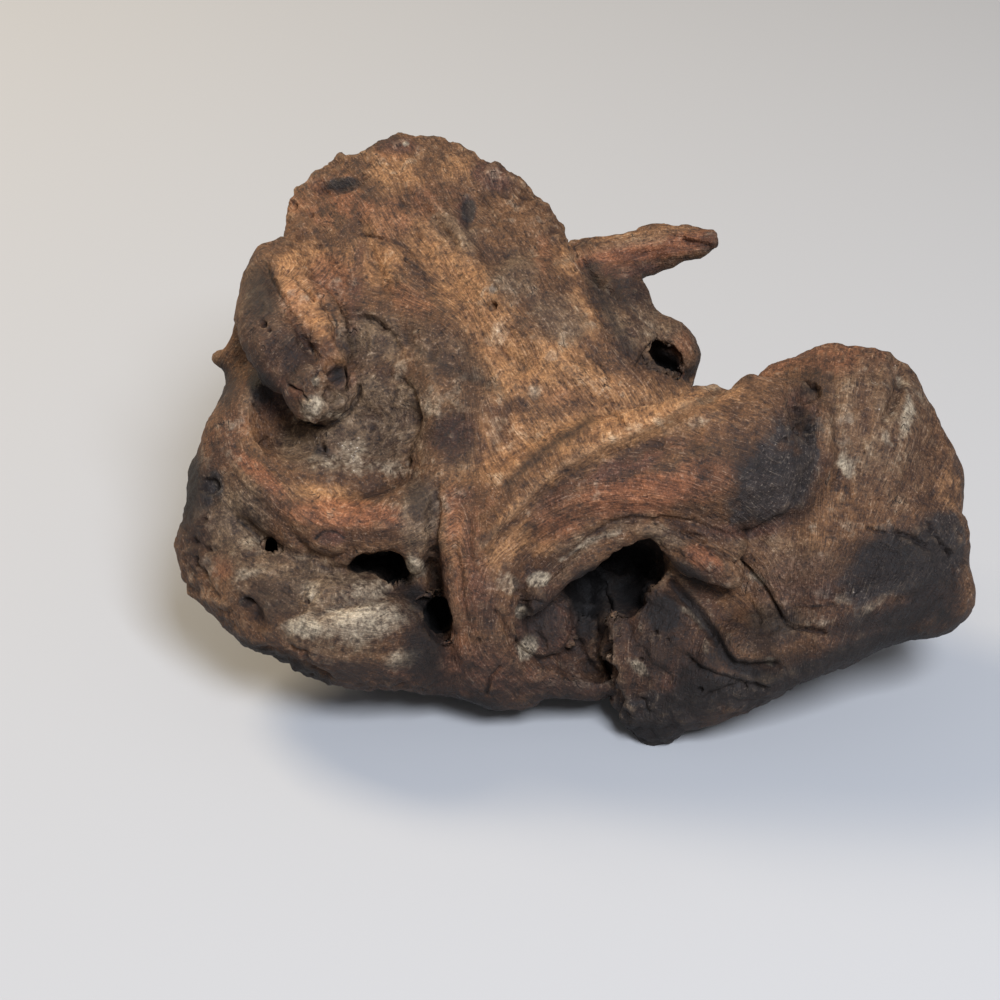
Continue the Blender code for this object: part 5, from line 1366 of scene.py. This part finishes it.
# %% Patterns
# width and length of the streaks in millimetres, octaves, a shift in the fourth dimension
FIBRES = {"broad": (4.5, 24.0, 3.0, 0.0), "middle": (1.3, 9.0, 3.0, 11.0), "fine": (0.5, 4.0, 2.0, 23.0),
          "split": (2.2, 9.0, 1.0, 37.0)}
# size in millimetres and octaves of the patterns that don't follow the grain
GRITS = {"cloud": (24.0, 4.0), "mottle": (6.0, 4.0), "freckle": (1.8, 3.0), "grit": (0.7, 3.0)}
pattern = {}
for name, (across, along, octaves, shift) in FIBRES.items():
    slow = node("VectorMath", {0: here, "Scale": 1.0 / (along * MM)}, operation="SCALE")
    fast = node("Math", {0: masks["grain"], 1: 1.0 / across, 2: shift}, operation="MULTIPLY_ADD")
    pattern[name] = node("TexNoise", {"Vector": slow, "W": fast, "Scale": 1.0, "Detail": octaves,
                                      "Roughness": 0.6}, noise_dimensions="4D")
for name, (size, octaves) in GRITS.items():
    pattern[name] = node("TexNoise", {"Vector": here, "Scale": 1.0 / (size * MM), "Detail": octaves,
                                      "Roughness": 0.6})
print(len(masks), "masks,", len(pattern), "patterns")

# %% [markdown]
# The base is a brown that goes from dark to light with the broad streaks. Each layer then has its own
# dark and light fibre colour, and shows where its mask, torn by noise, is over a threshold.

# %% Layers of colour
# mask, where it starts and is full, strength, colours of its dark and light parts, what they follow
LAYERS = (
    ("ochre", 0.15, 0.80, 0.90, "774B2B", "AF8052", "streak"),
    ("rust", 0.20, 0.80, 0.80, "663A22", "965C3A", "streak"),
    ("grey", 0.20, 0.80, 0.80, "463426", "786249", "grain"),
    ("umber", 0.15, 0.80, 0.90, "2B170D", "50311B", "streak"),
    ("plum", 0.20, 0.80, 0.80, "371F18", "5D3727", "grain"),
    ("bloom", 0.15, 0.90, 0.88, "7E6E5A", "BEAC90", "grain"),
    ("char", 0.30, 0.70, 0.95, "130F0D", "312A27", "grain"),
)
# A sum is a middle value and the patterns' distances from one half, each times its share. The base
# and the fibres between dark and light need one, and so do the masks' edges: torn along the fibres
# or crumbled. The last one changes only how light the wood is, not its hue.
SUMS = {
    "base": (0.5, ("broad", 1.3), ("middle", 0.5), ("cloud", 1.2), ("mottle", 1.1), ("freckle", 0.4)),
    "streak edge": (0.0, ("broad", 0.8), ("middle", 0.7), ("mottle", 0.6), ("cloud", 0.8)),
    "grain edge": (0.0, ("broad", 0.3), ("cloud", 0.8), ("mottle", 1.2), ("freckle", 0.5)),
    "streak": (0.5, ("middle", 1.2), ("fine", 0.6), ("mottle", 1.2), ("freckle", 0.6)),
    "grain": (0.5, ("middle", 0.4), ("mottle", 1.6), ("freckle", 1.4)),
    "value": (1.0, ("fine", 1.2), ("grit", 2.4), ("freckle", 1.2), ("mottle", 0.7)),
}
total = {}
for name, (middle, *shares) in SUMS.items():
    total[name] = middle
    for source, share in shares:
        part = node("Math", {0: pattern[source], 1: share, 2: -0.5 * share}, operation="MULTIPLY_ADD")
        total[name] = node("Math", {0: part, 1: total[name]}, operation="ADD")

# %% Lay the colours over each other
DARK_BROWN, LIGHT_BROWN = linear("442A18"), linear("76502F")
colour = node("Mix", {0: total["base"], 6: DARK_BROWN, 7: LIGHT_BROWN}, out=2, data_type="RGBA")
for name, start, full, strength, dark_code, light_code, follows in LAYERS:
    torn = node("Math", {0: masks[name], 1: total[follows + " edge"]}, operation="ADD")
    share = node("MapRange", {"Value": torn, "From Min": start, "From Max": full, "To Max": strength})
    fibre = node("Mix", {0: total[follows], 6: linear(dark_code), 7: linear(light_code)}, out=2,
                 data_type="RGBA")
    colour = node("Mix", {0: share, 6: colour, 7: fibre}, out=2, data_type="RGBA")
print(len(LAYERS), "layers of colour")

# %% [markdown]
# Over the layers lie the marks that are everywhere: fine dark fibres, short drying cracks, pale
# mineral specks, painted shade with some dirt in the hollows, and rubbed ridges. Painted shade also
# lies on faces that turn down, inside the caves and in the listed shade patches.

# %% Marks
# what drives the mark, its range, how strong it is at the range's start and end, its colour
MARKS = (
    (pattern["fine"], 0.30, 0.50, 0.40, 0.0, "3A2416"),
    (pattern["grit"], 0.58, 0.78, 0.0, 0.22, "C8B6A2"),
    (pattern["fine"], 0.60, 0.80, 0.0, 0.30, "C0A88C"),
    (pattern["freckle"], 0.30, 0.45, 0.45, 0.0, "34221A"),
    # painted shade, with some dirt, in small and large hollows
    (masks["small_hollow"], 0.04, 0.60, 0.0, 0.75, "24130B"),
    (masks["large_hollow"], 1.0, 8.0, 0.0, 0.97, "0C0908"),
    (masks["small_hollow"], -0.10, -0.50, 0.0, 0.14, "BC9A74"),
    (masks["line"], 0.2, 0.9, 0.0, 0.92, "120C09"),
    # painted shade on the faces that turn down
    (masks["underside_shade"], 0.0, 1.0, 0.0, 0.75, "20130C"),
    # painted shade in the listed patches
    (masks["shade"], 0.05, 0.75, 0.0, 0.95, "160C06"),
    # painted shade inside the caves
    (masks["deep"], 0.0, 1.0, 0.0, 0.95, "0A0706"),
)
for driver, start, full, first, last, code in MARKS:
    share = node("MapRange", {"Value": driver, "From Min": start, "From Max": full, "To Min": first,
                              "To Max": last})
    colour = node("Mix", {0: share, 6: colour, 7: linear(code)}, out=2, data_type="RGBA")
print(len(MARKS), "kinds of marks")

# %% Cracks, specks and light
# a crack is a thin band round the middle value of a noise, kept where another noise is high
valley = node("Math", {0: pattern["split"], 1: 0.5}, operation="SUBTRACT")
valley = node("Math", {0: valley}, operation="ABSOLUTE")
thin_line = node("MapRange", {"Value": valley, "From Min": 0.003, "From Max": 0.012, "To Min": 0.8,
                              "To Max": 0.0})
kept = node("MapRange", {"Value": pattern["mottle"], "From Min": 0.58, "From Max": 0.64})
crack = node("Math", {0: thin_line, 1: kept}, operation="MULTIPLY")
colour = node("Mix", {0: crack, 6: colour, 7: linear("1A110D")}, out=2, data_type="RGBA")
# a speck is a peak of the finest grit, and the mask lowers the bar it has to clear; specks are mineral
# grains, and in the bowl also painted glints
bar = node("Math", {0: pattern["mottle"], 1: -0.5, 2: 1.12}, operation="MULTIPLY_ADD")
bar = node("Math", {0: masks["fleck"], 1: -0.14, 2: bar}, operation="MULTIPLY_ADD")
above = node("Math", {0: pattern["grit"], 1: bar}, operation="SUBTRACT")
dot = node("MapRange", {"Value": above, "From Min": 0.0, "From Max": 0.03, "To Max": 0.8})
colour = node("Mix", {0: dot, 6: colour, 7: linear("C8BEB4")}, out=2, data_type="RGBA")
# worn places, rubbed pale and with painted highlights, are lighter, and the finest patterns change only how
# light the wood is
value = node("Math", {0: masks["worn"], 1: 0.6, 2: total["value"]}, operation="MULTIPLY_ADD")
colour = node("Mix", {0: 1.0, 6: colour, 7: value}, out=2, data_type="RGBA", blend_type="MULTIPLY")
tree.links.new(colour, surface.inputs["Base Color"])
print("colour made by", len(tree.nodes), "nodes")

# %% [markdown]
# Dry wood is rough all over, so roughness only goes from 0.6 to 0.9 with the grit. The bump adds the
# fibres that are too thin for the mesh: their heights are in tenths of a millimetre.

# %% Gloss and bump
rough = node("MapRange", {"Value": pattern["grit"], "From Min": 0.3, "From Max": 0.7, "To Min": 0.62,
                          "To Max": 0.88})
tree.links.new(rough, surface.inputs["Roughness"])
HEIGHTS = (("middle", 0.45), ("fine", 0.2), ("grit", 0.35), ("freckle", 0.5), ("mottle", 0.9))
height = None
for name, amount in HEIGHTS:
    part = node("Math", {0: pattern[name], 1: amount}, operation="MULTIPLY")
    height = part if height is None else node("Math", {0: height, 1: part}, operation="ADD")
height = node("Math", {0: crack, 1: -0.5, 2: height}, operation="MULTIPLY_ADD")
bump = node("Bump", {"Strength": 0.9, "Distance": 1.3 * MM, "Height": height})
tree.links.new(bump, surface.inputs["Normal"])
print(len(tree.nodes), "nodes in", wood.name)
skin.data.materials.clear()
skin.data.materials.append(wood)
skin.data.polygons.foreach_set("use_smooth", np.ones(len(skin.data.polygons), bool))

# %% [markdown]
# ## The studio
# A wide pale sheet lies under the wood. Two soft lamps stand above it: a cool one in front on the
# right, like a window, and a warm one behind on the left, which draws the edges. A weak even light
# comes from all round, so no shadow is black.

# %% Floor
FLOOR_HALF = 8.0
CORNERS = np.array(((-1, -1, 0), (1, -1, 0), (1, 1, 0), (-1, 1, 0))) * FLOOR_HALF

paper = bpy.data.materials.new("matt paper")
paper.use_nodes = True
paper.node_tree.nodes["Principled BSDF"].inputs["Base Color"].default_value = linear("C4C4C4")
paper.node_tree.nodes["Principled BSDF"].inputs["Roughness"].default_value = 0.9
floor_mesh = bpy.data.meshes.new("floor")
floor_mesh.from_pydata(CORNERS.tolist(), [], [(0, 1, 2, 3)])
floor_mesh.materials.append(paper)
floor = in_scene("floor", floor_mesh)
print("floor:", 2 * FLOOR_HALF, "metres square")

# %% Lights
AIM = Vector((0, 0, 0.06))


def soft_lamp(name, place, power, size, colour_code):
    """A square lamp that faces the wood: its place and size in metres, its power in watts."""
    data = bpy.data.lights.new(name, "AREA")
    data.energy, data.size, data.color = power, size, linear(colour_code)[:3]
    lamp = in_scene(name, data)
    lamp.location = place
    lamp.rotation_euler = (Vector(place) - AIM).to_track_quat("Z", "Y").to_euler()


soft_lamp("window", (0.34, -0.95, 1.25), 26.5, 0.5, "E8F0FF")
soft_lamp("lamp", (-0.9, 0.65, 1.17), 15.0, 0.5, "FFECCC")
world = bpy.data.worlds.new("room")
bpy.context.scene.world = world
world.use_nodes = True
world.node_tree.nodes["Background"].inputs["Color"].default_value = linear("F0F3FA")
world.node_tree.nodes["Background"].inputs["Strength"].default_value = 0.23
bpy.context.scene.view_settings.view_transform = "Standard"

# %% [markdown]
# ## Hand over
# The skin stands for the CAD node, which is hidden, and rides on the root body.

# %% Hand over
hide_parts("driftwood")
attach(skin, "root")
